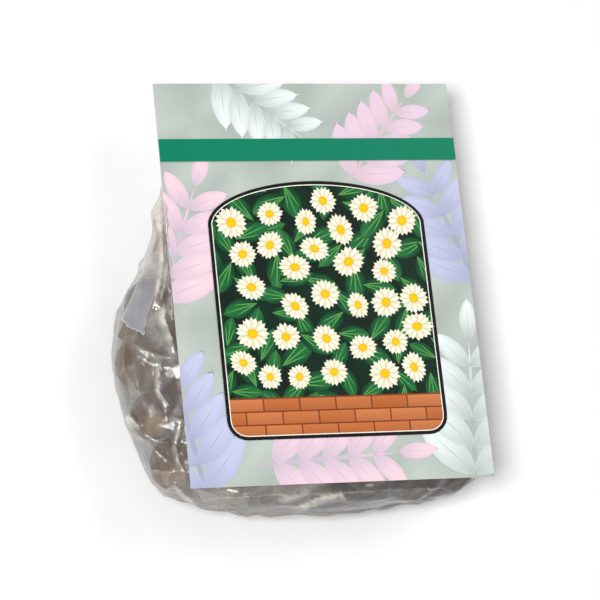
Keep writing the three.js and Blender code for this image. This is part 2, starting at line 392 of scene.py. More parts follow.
@dataclass(frozen=True)
class FilmFinish:
    """Clear crumpled polyethylene: grey haze where it stands off the bulbs, painted light on its folds and
    facets, painted shade at its foot.
    """

    near: tuple = linear(95, 90, 85)
    far: tuple = linear(190, 186, 181)
    bare: tuple = linear(234, 231, 224)
    # painted cream highlight along the fold lines
    crease: tuple = linear(240, 233, 219)
    doubled: tuple = linear(176, 177, 186)
    # painted shade at the bag's foot under the card's right half
    dust: tuple = linear(40, 37, 34)
    clear: float = 0.3
    hazed: float = 0.56

    def material(self) -> bpy.types.Material:
        """Builds the film's material, which reads how far the bulbs are and its painted highlights, facet
        light and foot shade.
        """
        kit = NodeKit("film")
        where = kit.place()
        crease, gap, doubled, pane = (kit.attribute(name) for name in ("crease", "gap", "fold", "pane"))
        # Random tones of the crumple facets, painted as the light and shade each facet catches.
        large_edge, large_light_catch = self._facets(kit, where, 40.0)
        small_edge, small_light_catch = self._facets(kit, where, 110.0)
        cloud = kit.noise(kit.scaled(where, (1.0, 0.6, 1.0)), 60.0, 4.0)
        fine = kit.noise(where, 380.0, 3.0)
        facet = kit.sum(
            kit.spread(large_light_catch, 0.0, 0.42), kit.spread(small_light_catch, 0.0, 0.28),
            kit.remap(cloud, 0.35, 0.65, (0.0, 0.3)),
        )
        # Painted highlight along the fold lines, broken along its length.
        broken = kit.remap(kit.noise(where, 130.0, 3.0), 0.36, 0.58, (0.45, 1.0))
        line = kit.product(kit.remap(crease, 0.1, 1.0, (0.0, 1.0)), broken)
        # Painted shade at the foot, made patchy by the cloud noise.
        dust = kit.product(kit.attribute("dust"), kit.remap(cloud, 0.3, 0.6, (0.6, 1.0)))
        cover = kit.sum(
            kit.spread(gap, self.clear, self.hazed), kit.spread(pane, -0.08, 0.1),
            kit.spread(facet, -0.04, 0.14), kit.spread(line, 0.0, 0.55),
            kit.spread(doubled, 0.0, 0.16), kit.spread(dust, 0.0, 0.48),
        )
        fading = kit.spread(kit.attribute("fading"), 1.0, 0.0)
        kit.link(kit.product(kit.spread(cover, 0.0, 0.96), fading), kit.shader.inputs["Alpha"])
        # The tone runs from dark near the bulbs to light off them, with the facets' painted light and
        # shade.
        lift = kit.sum(kit.spread(gap, 0.0, 0.5), kit.spread(facet, 0.0, 0.3), kit.spread(pane, -0.05, 0.3))
        tone = kit.mix(kit.spread(lift, 0.0, 1.0), self.near, self.far)
        # Over the haze: bare film, doubled film, the painted shade at the foot and the painted highlights
        # along the folds.
        for share, most, colour in (
            (kit.attribute("bare"), 0.9, self.bare), (doubled, 0.75, self.doubled),
            (dust, 0.9, self.dust), (line, 0.9, self.crease),
        ):
            tone = kit.mix(kit.spread(share, 0.0, most), tone, colour)
        kit.link(tone, kit.shader.inputs["Base Color"])
        kit.link(kit.remap(fine, 0.3, 0.7, (0.14, 0.26)), kit.shader.inputs["Roughness"])
        kit.set(IOR=1.51, Specular_IOR_Level=0.6, Coat_Weight=0.5, Coat_Roughness=0.08)
        relief = kit.sum(
            kit.remap(large_edge, 0.0, 0.5, (0.0, 0.3)), kit.remap(small_edge, 0.0, 0.5, (0.0, 0.2)),
            self._crags(kit, where, 48.0, 0.7), kit.spread(fine, 0.0, 0.03),
        )
        kit.bump(relief, 0.0022, 0.5)
        return kit.material

    def _crags(self, kit: NodeKit, where: Socket, scale: float, turn: float) -> Socket:
        """Gives flat-sided crumples with sharp ridges.

        Args:
            kit: The node builder.
            where: The coordinates.
            scale: Crumples per metre.
            turn: How far the pattern is turned, in radians.

        Returns:
            The height.
        """
        rotation = (turn * 0.6, turn * 0.4, turn)
        lay = kit.add("ShaderNodeMapping", Rotation=rotation, Scale=(1.0, 0.55, 0.8))
        kit.link(where, lay.inputs["Vector"])
        cells = kit.add("ShaderNodeTexVoronoi", feature="F1", distance="MANHATTAN", Scale=scale)
        wavered = self._wavered(kit, where, lay.outputs["Vector"], scale * 0.4, 0.9 / scale)
        kit.link(wavered, cells.inputs["Vector"])
        return kit.spread(cells.outputs["Distance"], 0.0, 1.0)

    def _wavered(self, kit: NodeKit, where: Socket, base: Socket, scale: float, reach: float) -> Socket:
        """Shifts coordinates by a slow noise, so that no edge runs quite straight.

        Args:
            kit: The node builder.
            where: The coordinates that the noise reads.
            base: The coordinates that are shifted.
            scale: The noise's scale, per metre.
            reach: How far it shifts them, in metres.

        Returns:
            The shifted coordinates.
        """
        waver = kit.add("ShaderNodeTexNoise", Scale=scale, Detail=1.0)
        kit.link(where, waver.inputs["Vector"])
        push = kit.add("ShaderNodeVectorMath", operation="MULTIPLY_ADD")
        kit.link(waver.outputs["Color"], push.inputs[0])
        push.inputs[1].default_value = (reach,) * 3
        kit.link(base, push.inputs[2])
        return push.outputs["Vector"]

    def _facets(self, kit: NodeKit, where: Socket, scale: float) -> tuple:
        """Gives crumple facets: the distance to their edges and a random tone for each one, painted as the
        light it catches.

        Args:
            kit: The node builder.
            where: The coordinates.
            scale: Facets per metre.

        Returns:
            The edge distance and the painted light tone.
        """
        wavered = self._wavered(kit, where, where, scale * 0.6, 0.3 / scale)
        long_way = kit.scaled(wavered, (1.0, 0.6, 1.0))
        edges, tones = (kit.add("ShaderNodeTexVoronoi", feature=feature, Scale=scale)
                        for feature in ("DISTANCE_TO_EDGE", "F1"))
        kit.link(long_way, edges.inputs["Vector"])
        kit.link(long_way, tones.inputs["Vector"])
        tone = kit.add("ShaderNodeSeparateColor")
        kit.link(tones.outputs["Color"], tone.inputs[0])
        return edges.outputs["Distance"], tone.outputs[0]


@dataclass(frozen=True)
class BulbFinish:
    """Dry papery brown skin with fine lengthwise veins, paler at the plate and the neck."""

    dark: tuple = linear(66, 44, 31)
    light: tuple = linear(122, 86, 58)
    pale: tuple = linear(172, 146, 114)

    def material(self) -> bpy.types.Material:
        """Builds the bulbs' material, which reads the skin's UV map and each bulb's own tone."""
        kit = NodeKit("bulb_skin")
        uv = kit.uv()
        tone = kit.attribute("tone")
        plate = kit.attribute("plate")
        veins = kit.noise(kit.scaled(uv, (46.0, 2.2, 1.0)), 1.0, 5.0)
        patches = kit.noise(kit.place(), 95.0, 4.0)
        share = kit.product(
            kit.remap(veins, 0.3, 0.7, (0.35, 1.0)), kit.remap(patches, 0.3, 0.7, (0.3, 1.0)),
        )
        brown = kit.mix(share, self.dark, self.light)
        toned = kit.mix(kit.spread(tone, 0.0, 0.45), brown, self.pale)
        kit.link(kit.mix(plate, toned, self.pale), kit.shader.inputs["Base Color"])
        kit.link(kit.remap(patches, 0.3, 0.7, (0.42, 0.7)), kit.shader.inputs["Roughness"])
        kit.set(Sheen_Weight=0.15, Specular_IOR_Level=0.45)
        kit.bump(veins, 0.0005, 0.8)
        return kit.material


@dataclass(frozen=True)
class InkFinish:
    """Printed and varnished face of the board: the inks come from the shapes' colours."""

    name: str = "print_ink"
    roughness: float = 0.3

    def material(self) -> bpy.types.Material:
        """Builds the print's material."""
        kit = NodeKit(self.name)
        where = kit.place()
        ink = kit.attribute("ink", "Color")
        fibre = kit.noise(where, 900.0, 3.0)
        cloud = kit.noise(where, 60.0, 3.0)
        share = kit.remap(cloud, 0.3, 0.7, (0.0, 0.14))
        tint = kit.mix(share, ink, linear(236, 232, 226), "MULTIPLY")
        kit.link(tint, kit.shader.inputs["Base Color"])
        kit.link(
            kit.remap(fibre, 0.3, 0.7, (self.roughness - 0.05, self.roughness + 0.07)),
            kit.shader.inputs["Roughness"],
        )
        kit.set(Specular_IOR_Level=0.22, Coat_Weight=0.12, Coat_Roughness=0.15)
        kit.bump(fibre, 0.00004, 0.25)
        return kit.material


@dataclass(frozen=True)
class BoardFinish:
    """Uncoated grey-white back and cut edges of the board."""

    face: tuple = linear(226, 224, 216)
    fleck: tuple = linear(196, 190, 178)

    def material(self) -> bpy.types.Material:
        """Builds the board's material."""
        kit = NodeKit("board")
        where = kit.place()
        fibre = kit.noise(where, 1400.0, 4.0)
        fleck = kit.noise(where, 260.0, 2.0)
        kit.link(kit.mix(kit.remap(fleck, 0.55, 0.7, (0.0, 1.0)), self.face, self.fleck),
                 kit.shader.inputs["Base Color"])
        kit.link(kit.remap(fibre, 0.3, 0.7, (0.6, 0.85)), kit.shader.inputs["Roughness"])
        kit.bump(fibre, 0.00008, 0.4)
        return kit.material


@dataclass
class CardPlace:
    """Where the card's face lies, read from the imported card."""

    corner: Vector  # the foot edge's left end
    right: Vector
    head: Vector  # the direction up the card
    normal: Vector
    width: float
    height: float
    thickness: float

    @classmethod
    def from_frame(cls) -> "CardPlace":
        """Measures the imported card.

        Returns:
            The card's place.
        """
        low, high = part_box("card")
        points = [v.co.copy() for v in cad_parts["card"].data.vertices]
        foot = [p for p in points if p.y < (low.y + high.y) / 2]
        head = [p for p in points if p.y >= (low.y + high.y) / 2]
        foot_top = max(foot, key=lambda p: p.z)
        head_top = max(head, key=lambda p: p.z)
        foot_low = min(foot, key=lambda p: p.z)
        head_way = Vector((0.0, head_top.y - foot_top.y, head_top.z - foot_top.z))
        right = Vector((1.0, 0.0, 0.0))
        normal = right.cross(head_way.normalized())
        return cls(
            corner=Vector((low.x, foot_top.y, foot_top.z)),
            right=right,
            head=head_way.normalized(),
            normal=normal,
            width=high.x - low.x,
            height=head_way.length,
            thickness=(foot_top - foot_low).dot(normal),
        )

    def point(self, across: float, up: float, lift: float = 0.0) -> Vector:
        """Gives a point over the card's face.

        Args:
            across: Millimetres from the left edge.
            up: Millimetres from the foot edge.
            lift: Millimetres above the face.

        Returns:
            The point, in metres.
        """
        return self.corner + (self.right * across + self.head * up + self.normal * lift) * MM


class Ink(Enum):
    """The inks of the print."""

    SAGE = linear(170, 181, 174)
    SAGE_LIGHT = linear(194, 204, 196)
    ICE = linear(244, 252, 252)
    LILAC = linear(202, 207, 234)
    LILAC_DEEP = linear(182, 186, 220)
    PINK = linear(250, 214, 222)
    ORCHID = linear(232, 208, 230)
    GREEN_BAND = linear(0, 128, 96)
    WHITE = linear(255, 254, 240)
    PETAL_SHADE = linear(222, 214, 168)
    YELLOW = linear(250, 212, 10)
    GOLD = linear(240, 184, 0)
    BLACK = linear(18, 18, 20)
    NIGHT = linear(14, 26, 18)
    STONE = linear(118, 136, 148)
    LEAF = linear(28, 108, 58)
    LEAF_DARK = linear(8, 46, 30)
    LEAF_LIGHT = linear(94, 166, 84)
    CLAY = linear(196, 108, 56)
    CLAY_DARK = linear(128, 62, 30)
    CLAY_LIGHT = linear(222, 142, 92)


def seen_on_card(places: np.ndarray, card: CardPlace) -> tuple:
    """Projects points along the photograph's lines of sight onto the card's plane.

    Args:
        places: The points, in metres.
        card: The card's place.

    Returns:
        Millimetres across and up the card's plane, beyond its edges too.
    """
    eye, normal, corner = np.array(EYE), np.array(card.normal), np.array(card.corner)
    lines = places - eye
    reach = ((corner - eye) @ normal) / (lines @ normal)
    spots = (eye + lines * reach[:, None] - corner) / MM
    return spots @ np.array(card.right), spots @ np.array(card.head)


class PrintLayer:
    """One printed layer: flat shapes with inks that run from point to point."""

    LEVEL = 0.006  # millimetres between one level and the next

    def __init__(self, name: str, card: CardPlace, base: float) -> None:
        """Starts an empty layer.

        Args:
            name: The piece's name.
            card: The card's place.
            base: Height of level 0 over the card's face, in millimetres.
        """
        self.name = name
        self.card = card
        self.base = base
        self.points: list[Vector] = []
        self.faces: list[tuple] = []
        self.inks: list[tuple] = []

    def sheet(self, rows: list, inks: list, level: int) -> None:
        """Adds a patch from rows of points.

        Args:
            rows: Rows of points on the card, in millimetres, all of one length.
            inks: The same rows, of colours.
            level: Its level.
        """
        self.faces.extend(grid_faces(len(rows), len(rows[0]), len(self.points)))
        for row, tones in zip(rows, inks):
            for (across, up), tone in zip(row, tones):
                self.points.append(self.card.point(across, up, self.base + level * self.LEVEL))
                self.inks.append(tone)

    def block(self, low: tuple, high: tuple, level: int, ink: Callable, steps: tuple = (1, 1)) -> None:
        """Adds an upright rectangle.

        Args:
            low: Its lower left corner, in millimetres.
            high: Its upper right corner.
            level: Its level.
            ink: Gives the colour at a column and a row of its points.
            steps: How many cells it has across and up.
        """
        columns, lines = range(steps[0] + 1), range(steps[1] + 1)
        rows = [[(low[0] + (high[0] - low[0]) * k / steps[0], low[1] + (high[1] - low[1]) * i / steps[1])
                 for k in columns] for i in lines]
        self.sheet(rows, [[ink(k, i) for k in columns] for i in lines], level)

    def petal(self, centre: tuple, turn: float, reach: tuple, width: float, inks: tuple,
              level: int, blunt: float = 0.6, rows: int = 7, tilt: tuple = (1.0, 0.0)) -> None:
        """Adds one petal or leaf that grows out of a centre.

        Args:
            centre: Where it grows from, in millimetres.
            turn: Its direction, in radians from the card's right.
            reach: Distances of its root and tip from the centre.
            width: Its full width.
            inks: Its colours at the root, in the middle, at the tip and along its sides.
            level: Its level.
            blunt: Where along it is widest, 0 to 1.
            rows: How many rows of points it has.
            tilt: How a blossom that faces aside is drawn: its squash, and that squash's direction.
        """
        along = (math.cos(turn), math.sin(turn))
        aside = (-along[1], along[0])
        places, tones = [], []
        power = math.log(0.5) / math.log(blunt)
        for i in range(rows + 1):
            share = i / rows
            half = 0.5 * width * max(0.0, math.sin(math.pi * share**power)) ** 0.62
            half = max(half, 0.02 * width)
            far = reach[0] + (reach[1] - reach[0]) * share
            body = blend(*inks[:2], share * 2) if share < 0.5 else blend(*inks[1:3], share * 2 - 1)
            row, row_tones = [], []
            for k in (-1.0, -0.55, 0.0, 0.55, 1.0):
                dip = -0.06 * (reach[1] - reach[0]) * k * k * share
                row.append(self._tilted(centre, along[0] * (far + dip) + aside[0] * half * k,
                                        along[1] * (far + dip) + aside[1] * half * k, tilt))
                row_tones.append(blend(body, inks[3], abs(k) ** 2 * 0.8))
            places.append(row)
            tones.append(row_tones)
        self.sheet(places, tones, level)

    def _tilted(self, centre: tuple, x: float, y: float, tilt: tuple) -> tuple:
        """Squashes a place round a centre along one direction.

        Args:
            centre: The centre, in millimetres.
            x: The place's offset across.
            y: Its offset up.
            tilt: The squash, and its direction in radians.

        Returns:
            The place on the card.
        """
        squash, turn = tilt
        cos, sin = math.cos(turn), math.sin(turn)
        near, aside = (x * cos + y * sin) * squash, -x * sin + y * cos
        return centre[0] + near * cos - aside * sin, centre[1] + near * sin + aside * cos

    def disc(self, centre: tuple, radius: float, inner: tuple, outer: tuple, level: int,
             squash: float = 1.0, turn: float = 0.0, steps: int = 16) -> None:
        """Adds a round spot whose ink runs from its middle to its rim.

        Args:
            centre: Its middle, in millimetres.
            radius: Its radius.
            inner: The colour in the middle.
            outer: The colour at the rim.
            level: Its level.
            squash: Its height as a share of its width.
            turn: The direction that it is squashed in, in radians.
            steps: How many sides it has.
        """
        rows, tones = [], []
        for share in (0.001, 0.55, 1.0):
            row = []
            for k in range(steps + 1):
                angle = 2 * math.pi * k / steps
                row.append(self._tilted(centre, radius * share * math.cos(angle),
                                        radius * share * math.sin(angle), (squash, turn)))
            rows.append(row)
            tones.append([blend(inner, outer, share)] * (steps + 1))
        self.sheet(rows, tones, level)

    def piece(self, outline: list) -> bpy.types.Object:
        """Makes the layer's piece, trimmed to a convex outline.

        Args:
            outline: The outline's corners on the card, anticlockwise, in millimetres.

        Returns:
            The finished piece.
        """
        piece = mesh_piece(self.name, self.points, self.faces)
        layer = piece.data.color_attributes.new("ink", "FLOAT_COLOR", "POINT")
        layer.data.foreach_set("color", [value for tone in self.inks for value in tone])
        pick_only(piece)
        bpy.ops.object.mode_set(mode="EDIT")
        for one, two in zip(outline, outline[1:] + outline[:1]):
            side = self.card.point(*two) - self.card.point(*one)
            bpy.ops.mesh.select_all(action="SELECT")
            bpy.ops.mesh.bisect(
                plane_co=self.card.point(*one), plane_no=side.cross(self.card.normal),
                clear_outer=True, threshold=1e-7,
            )
        bpy.ops.object.mode_set(mode="OBJECT")
        mesh = bmesh.new()
        mesh.from_mesh(piece.data)
        down = [f for f in mesh.faces if f.normal.dot(self.card.normal) < 0]
        bmesh.ops.reverse_faces(mesh, faces=down)
        mesh.to_mesh(piece.data)
        mesh.free()
        return piece


@dataclass
class Arch:
    """The picture's panel: an upright window with a low round head, in millimetres on the card."""

    left: float = 30.0
    right: float = 180.0
    foot: float = 32.0
    spring: float = 178.0
    head: float = 208.0
    corner: float = 12.0

    def outline(self, grow: float = 0.0, steps: int = 40) -> list:
        """Gives its outline, anticlockwise from the foot's right corner.

        Args:
            grow: How far the outline is moved outwards.
            steps: Points along the round head.

        Returns:
            The outline's points.
        """
        middle = (self.left + self.right) / 2
        half = (self.right - self.left) / 2 + grow
        rise = self.head - self.spring + grow
        reach = self.corner + grow
        left, right, low = self.left + self.corner, self.right - self.corner, self.foot + self.corner
        turns = [math.radians(turn) for turn in range(0, 91, 15)]
        bows = [math.pi * k / steps for k in range(1, steps)]
        points = [(right + reach * math.sin(t), low - reach * math.cos(t)) for t in turns]
        points += [(middle + half * math.cos(b), self.spring + rise * math.sin(b)) for b in bows]
        points += [(left - reach * math.cos(t), low - reach * math.sin(t)) for t in turns]
        return points

    def holds(self, across: float, up: float, margin: float = 0.0) -> bool:
        """Tells whether a point lies in the panel.

        Args:
            across: The point's place across the card.
            up: Its place up the card.
            margin: How far inside it has to be.

        Returns:
            True inside.
        """
        middle = (self.left + self.right) / 2
        half = (self.right - self.left) / 2 - margin
        if up <= self.spring:
            return abs(across - middle) < half and up > self.foot + margin
        rise = (up - self.spring) / (self.head - self.spring - margin)
        return ((across - middle) / half) ** 2 + rise**2 < 1


@dataclass
class CardPrint:
    """The card's print, a generic floral design with no words."""

    card: CardPlace
    arch: Arch = field(default_factory=Arch)
    seed: int = 4

    def build(self) -> None:
        """Prints every layer, from the ground up."""
        width, height = self.card.width / MM, self.card.height / MM
        whole = [(0.0, 0.0), (width, 0.0), (width, height), (0.0, height)]
        ink = InkFinish().material()
        layers = (
            (self._ground(width, height), whole),
            (self._picture(), self.arch.outline()),
            (self._border(), whole),
            (self._blossoms(), whole),
            (self._band(), whole),
        )
        for layer, outline in layers:
            dress(layer.piece(outline), ink)

    def _ground(self, width: float, height: float) -> PrintLayer:
        """Lays the sage ground with its large pale sprays.

        Args:
            width: The card's width, in millimetres.
            height: The card's height.

        Returns:
            The layer.
        """
        layer = PrintLayer("print_ground", self.card, 0.01)
        light_sage, sage = Ink.SAGE_LIGHT.value, Ink.SAGE.value
        layer.block((0, 0), (width, height), 0,
                    lambda k, i: blend(light_sage, sage, (i + k) % 3 / 2), (8, 10))
        sprays = (
            ((12, -14), 118, 1.75, Ink.LILAC, Ink.LILAC_DEEP, 0),
            ((-12, 118), 112, 1.2, Ink.PINK, Ink.ORCHID, 1),
            ((40, 292), 96, -0.7, Ink.ICE, Ink.SAGE_LIGHT, 2),
            ((128, 206), 96, 0.9, Ink.ORCHID, Ink.PINK, 1),
            ((216, 128), 108, 1.9, Ink.LILAC, Ink.LILAC_DEEP, 0),
            ((196, -10), 124, 1.5, Ink.ICE, Ink.SAGE_LIGHT, 1),
            ((46, 14), 116, 0.05, Ink.PINK, Ink.ORCHID, 2),
        )
        for root, reach, turn, light, deep, tier in sprays:
            self._spray(layer, root, reach, turn, (light.value, deep.value), 1 + tier * 7)
        return layer

    def _spray(self, layer: PrintLayer, root: tuple, reach: float, turn: float, tones: tuple,
               level: int) -> None:
        """Prints one large pale spray: a stalk with pairs of pointed leaves and one at its tip.

        Args:
            layer: The layer that it goes on.
            root: The stalk's foot, in millimetres.
            reach: The spray's length.
            turn: Its direction, in radians from the card's right.
            tones: Its light colour and its deep one.
            level: The level of its stalk.
        """
        pairs = 5
        light, deep = tones
        rim = blend(deep, Ink.STONE.value, 0.34)
        leaf = (rim, blend(deep, light, 0.7), light, blend(light, rim, 0.6))
        rib = (rim, rim, light, light)
        layer.petal(root, turn, (0, reach * 0.9), reach * 0.03, (rim, rim, light, rim), level, 0.4, 6)
        for k in range(pairs + 1):
            far = reach * (0.1 + 0.15 * k)
            start = (root[0] + math.cos(turn) * far, root[1] + math.sin(turn) * far)
            size = reach * (0.42 - 0.035 * k)
            for side in ((-1, 1) if k < pairs else (0,)):
                way = turn + side * 0.85
                tier = level + 1 + (k % 2) * 2
                layer.petal(start, way, (0, size), size * 0.4, leaf, tier, 0.5, 10)
                layer.petal(start, way, (0, size * 0.9), size * 0.022, rib, tier + 1, 0.35, 4)

    def _picture(self) -> PrintLayer:
        """Fills the panel: a dusky bed of broad leaves over a low edging of clay bricks."""
        layer = PrintLayer("print_picture", self.card, 0.18)
        arch, margin = self.arch, 2
        night, dusk = Ink.NIGHT.value, Ink.LEAF_DARK.value
        low, high = (arch.left - margin, arch.foot - margin), (arch.right + margin, arch.head + margin)
        layer.block(low, high, 0,
                    lambda k, i: blend(night, dusk, 0.5 + 0.5 * math.sin(k * 1.7 + i)), (14, 18))
        chance = random.Random(self.seed)
        self._broad_leaves(layer, chance)
        self._bricks(layer, chance)
        return layer

    def _bricks(self, layer: PrintLayer, chance: random.Random) -> None:
        """Prints three courses of clay bricks along the panel's foot.

        Args:
            layer: The layer that they go on.
            chance: The source of their tones.
        """
        arch, dark = self.arch, Ink.CLAY_DARK.value
        level, courses, course, length, joint = 46, 3, 9.0, 25.0, 1.0
        layer.block((arch.left, arch.foot - 2), (arch.right, arch.foot + courses * course), level,
                    lambda k, i: dark)
        for row in range(courses):
            low = arch.foot + row * course
            for k in range(8):
                left = arch.left - length + (row % 2) * length / 2 + k * length
                tone = blend(Ink.CLAY.value, Ink.CLAY_LIGHT.value, chance.random() * 0.6)
                inks = (blend(tone, dark, 0.35), tone)
                layer.block((left, low), (left + length - joint, low + course - joint), level + 1,
                            lambda _, i, inks=inks: inks[i])

    def _scattered(self, chance: random.Random, foot: float, sides: float, tries: int, apart: float,
                   reach: float, margin: float | None) -> Iterator[tuple]:
        """Scatters places over the panel, each on a tier over its neighbours.

        Args:
            chance: The source of the places.
            foot: The lowest place, in millimetres over the panel's foot.
            sides: How far past the panel's sides they may lie.
            tries: How many places are tried.
            apart: The least distance between two.
            reach: How near a place is that counts as a neighbour.
            margin: How far inside the panel they have to be, or None for anywhere.

        Yields:
            Each place across and up the card, and its tier.
        """
        arch, most = self.arch, 10
        placed: list[tuple] = []
        for _ in range(tries):
            across = chance.uniform(arch.left - sides, arch.right + sides)
            up = chance.uniform(arch.foot + foot, arch.head)
            near = [(math.hypot(across - x, up - y), tier) for x, y, tier in placed]
            tier = 1 + max([tier for far, tier in near if far < reach], default=-1)
            if tier > most or any(far < apart for far, _ in near):
                continue
            if margin is None or arch.holds(across, up, margin):
                placed.append((across, up, tier))
                yield across, up, tier
        log.info("scattered: %d, tiers: %d", len(placed), 1 + max(tier for _, _, tier in placed))

    def _broad_leaves(self, layer: PrintLayer, chance: random.Random) -> None:
        """Prints broad pointed leaves with midribs all over the bed.

        Args:
            layer: The layer that they go on.
            chance: The source of their places, turns and tones.
        """
        dark, green, light_green = Ink.LEAF_DARK.value, Ink.LEAF.value, Ink.LEAF_LIGHT.value
        for across, up, tier in self._scattered(chance, 8, 8, 1500, 13.5, 32, None):
            way, size = chance.uniform(0, 2 * math.pi), chance.uniform(22, 30)
            level = 1 + tier * 4
            light = blend(green, light_green, chance.uniform(0.0, 0.4))
            root = (across - math.cos(way) * size * 0.5, up - math.sin(way) * size * 0.5)
            layer.petal(root, way, (0, size), size * 0.5, (dark, green, light, dark), level, 0.5, 9)
            for aside, reach in ((0.0, 0.94), (-0.22, 0.7), (0.22, 0.7)):
                layer.petal(root, way + aside, (0, size * reach), size * 0.03, (light_green,) * 4,
                            level + 1, 0.4, 4)

    def _border(self) -> PrintLayer:
        """Prints the panel's black line with a fine white line inside it."""
        layer = PrintLayer("print_border", self.card, 0.54)
        for inner, outer, ink, level in ((-0.9, 1.5, Ink.BLACK, 0), (-1.5, -0.9, Ink.WHITE, 1)):
            inside, outside = self.arch.outline(inner), self.arch.outline(outer)
            inside, outside = inside + inside[:1], outside + outside[:1]
            layer.sheet([inside, outside], [[ink.value] * len(inside)] * 2, level)
        return layer

    def _blossoms(self) -> PrintLayer:
        """Prints white daisies, scattered evenly over the whole panel."""
        layer = PrintLayer("print_blossoms", self.card, 0.56)
        chance = random.Random(self.seed + 8)
        for across, up, tier in self._scattered(chance, 40, 0, 6000, 19.5, 26, 12):
            self._daisy(layer, (across, up), chance, tier * 4)
        return layer

    def _daisy(self, layer: PrintLayer, centre: tuple, chance: random.Random, level: int) -> None:
        """Prints a daisy: a ring of slim petals over a shaded one, round a small golden disc.

        Args:
            layer: The layer that it goes on.
            centre: Its middle, in millimetres.
            chance: The source of its size and turns.
            level: The level of its shaded ring.
        """
        petals = 20
        radius = chance.uniform(9.0, 12.5)
        start = chance.uniform(0, 1)
        tilt = (chance.uniform(0.8, 1.0), chance.uniform(0, math.pi))
        white, shade = Ink.WHITE.value, Ink.PETAL_SHADE.value
        dusk = blend(shade, Ink.STONE.value, 0.35)
        for ring, tones in ((0, (shade, shade, white, dusk)), (1, (shade, white, white, shade))):
            for k in range(petals // 2):
                way = start + 2 * math.pi * (2 * k + ring) / petals + chance.gauss(0, 0.03)
                layer.petal(centre, way, (1.2, radius * chance.uniform(0.9, 1.04)), radius * 0.3,
                            tones, level + ring, 0.64, 6, tilt)
        layer.disc(centre, radius * 0.3, Ink.YELLOW.value, Ink.GOLD.value, level + 2, *tilt, 14)

    def _band(self) -> PrintLayer:
        """Prints the plain green band across the card near its head."""
        layer = PrintLayer("print_band", self.card, 0.9)
        layer.block((0, 224), (self.card.width / MM, 240), 0, lambda k, i: Ink.GREEN_BAND.value)
        return layer


@dataclass
class Board:
    """The printed card's board."""

    card: CardPlace
    edge: float = 0.16  # millimetres that its cut edges are softened by

    def build(self) -> bpy.types.Object:
        """Makes the board with its soft cut edges.

        Returns:
            The board.
        """
        card = self.card
        bpy.ops.object.select_all(action="DESELECT")
        bpy.ops.mesh.primitive_cube_add(size=1.0)
        board = bpy.context.object
        board.name = "card_board"
        middle = card.point(card.width / MM / 2, card.height / MM / 2, -card.thickness / MM / 2)
        turn = Matrix((card.right, card.head, card.normal)).transposed().to_4x4()
        size = Matrix.Diagonal((card.width, card.height, card.thickness, 1.0))
        board.data.transform(Matrix.Translation(middle) @ turn @ size)
        pick_only(board)
        rounding = board.modifiers.new("edge", "BEVEL")
        rounding.width = self.edge * MM
        rounding.segments = 2
        bpy.ops.object.modifier_apply(modifier=rounding.name)
        dress(board, BoardFinish().material(), ("card",))
        log.info("card: %.3f by %.3f m", card.width, card.height)
        return board


@dataclass
class BulbPlace:
    """Where one bulb lies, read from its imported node."""

    node: str
    foot: Vector
    axis: Vector
    radius: float

    @classmethod
    def from_node(cls, node: str) -> "BulbPlace":
        """Finds a bulb's axis from its neck's tip and its basal plate.

        Args:
            node: The node's name.

        Returns:
            The bulb's place.
        """
        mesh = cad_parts[node].data
        corners = {tuple(round(value, 6) for value in v.co) for v in mesh.vertices}
        points = [Vector(corner) for corner in sorted(corners)]
        area = sum(p.area for p in mesh.polygons)
        middle = sum((p.center * p.area for p in mesh.polygons), Vector()) / area
        tip = max(points, key=lambda p: (p - middle).length)
        far = max((p - tip).length for p in points)
        plate = [p for p in points if (p - tip).length > far * 0.995]
        foot = sum(plate, Vector()) / len(plate)
        axis = (tip - foot).normalized()
        return cls(node, foot, axis, (tip - foot).length / BulbHeap.LENGTH)


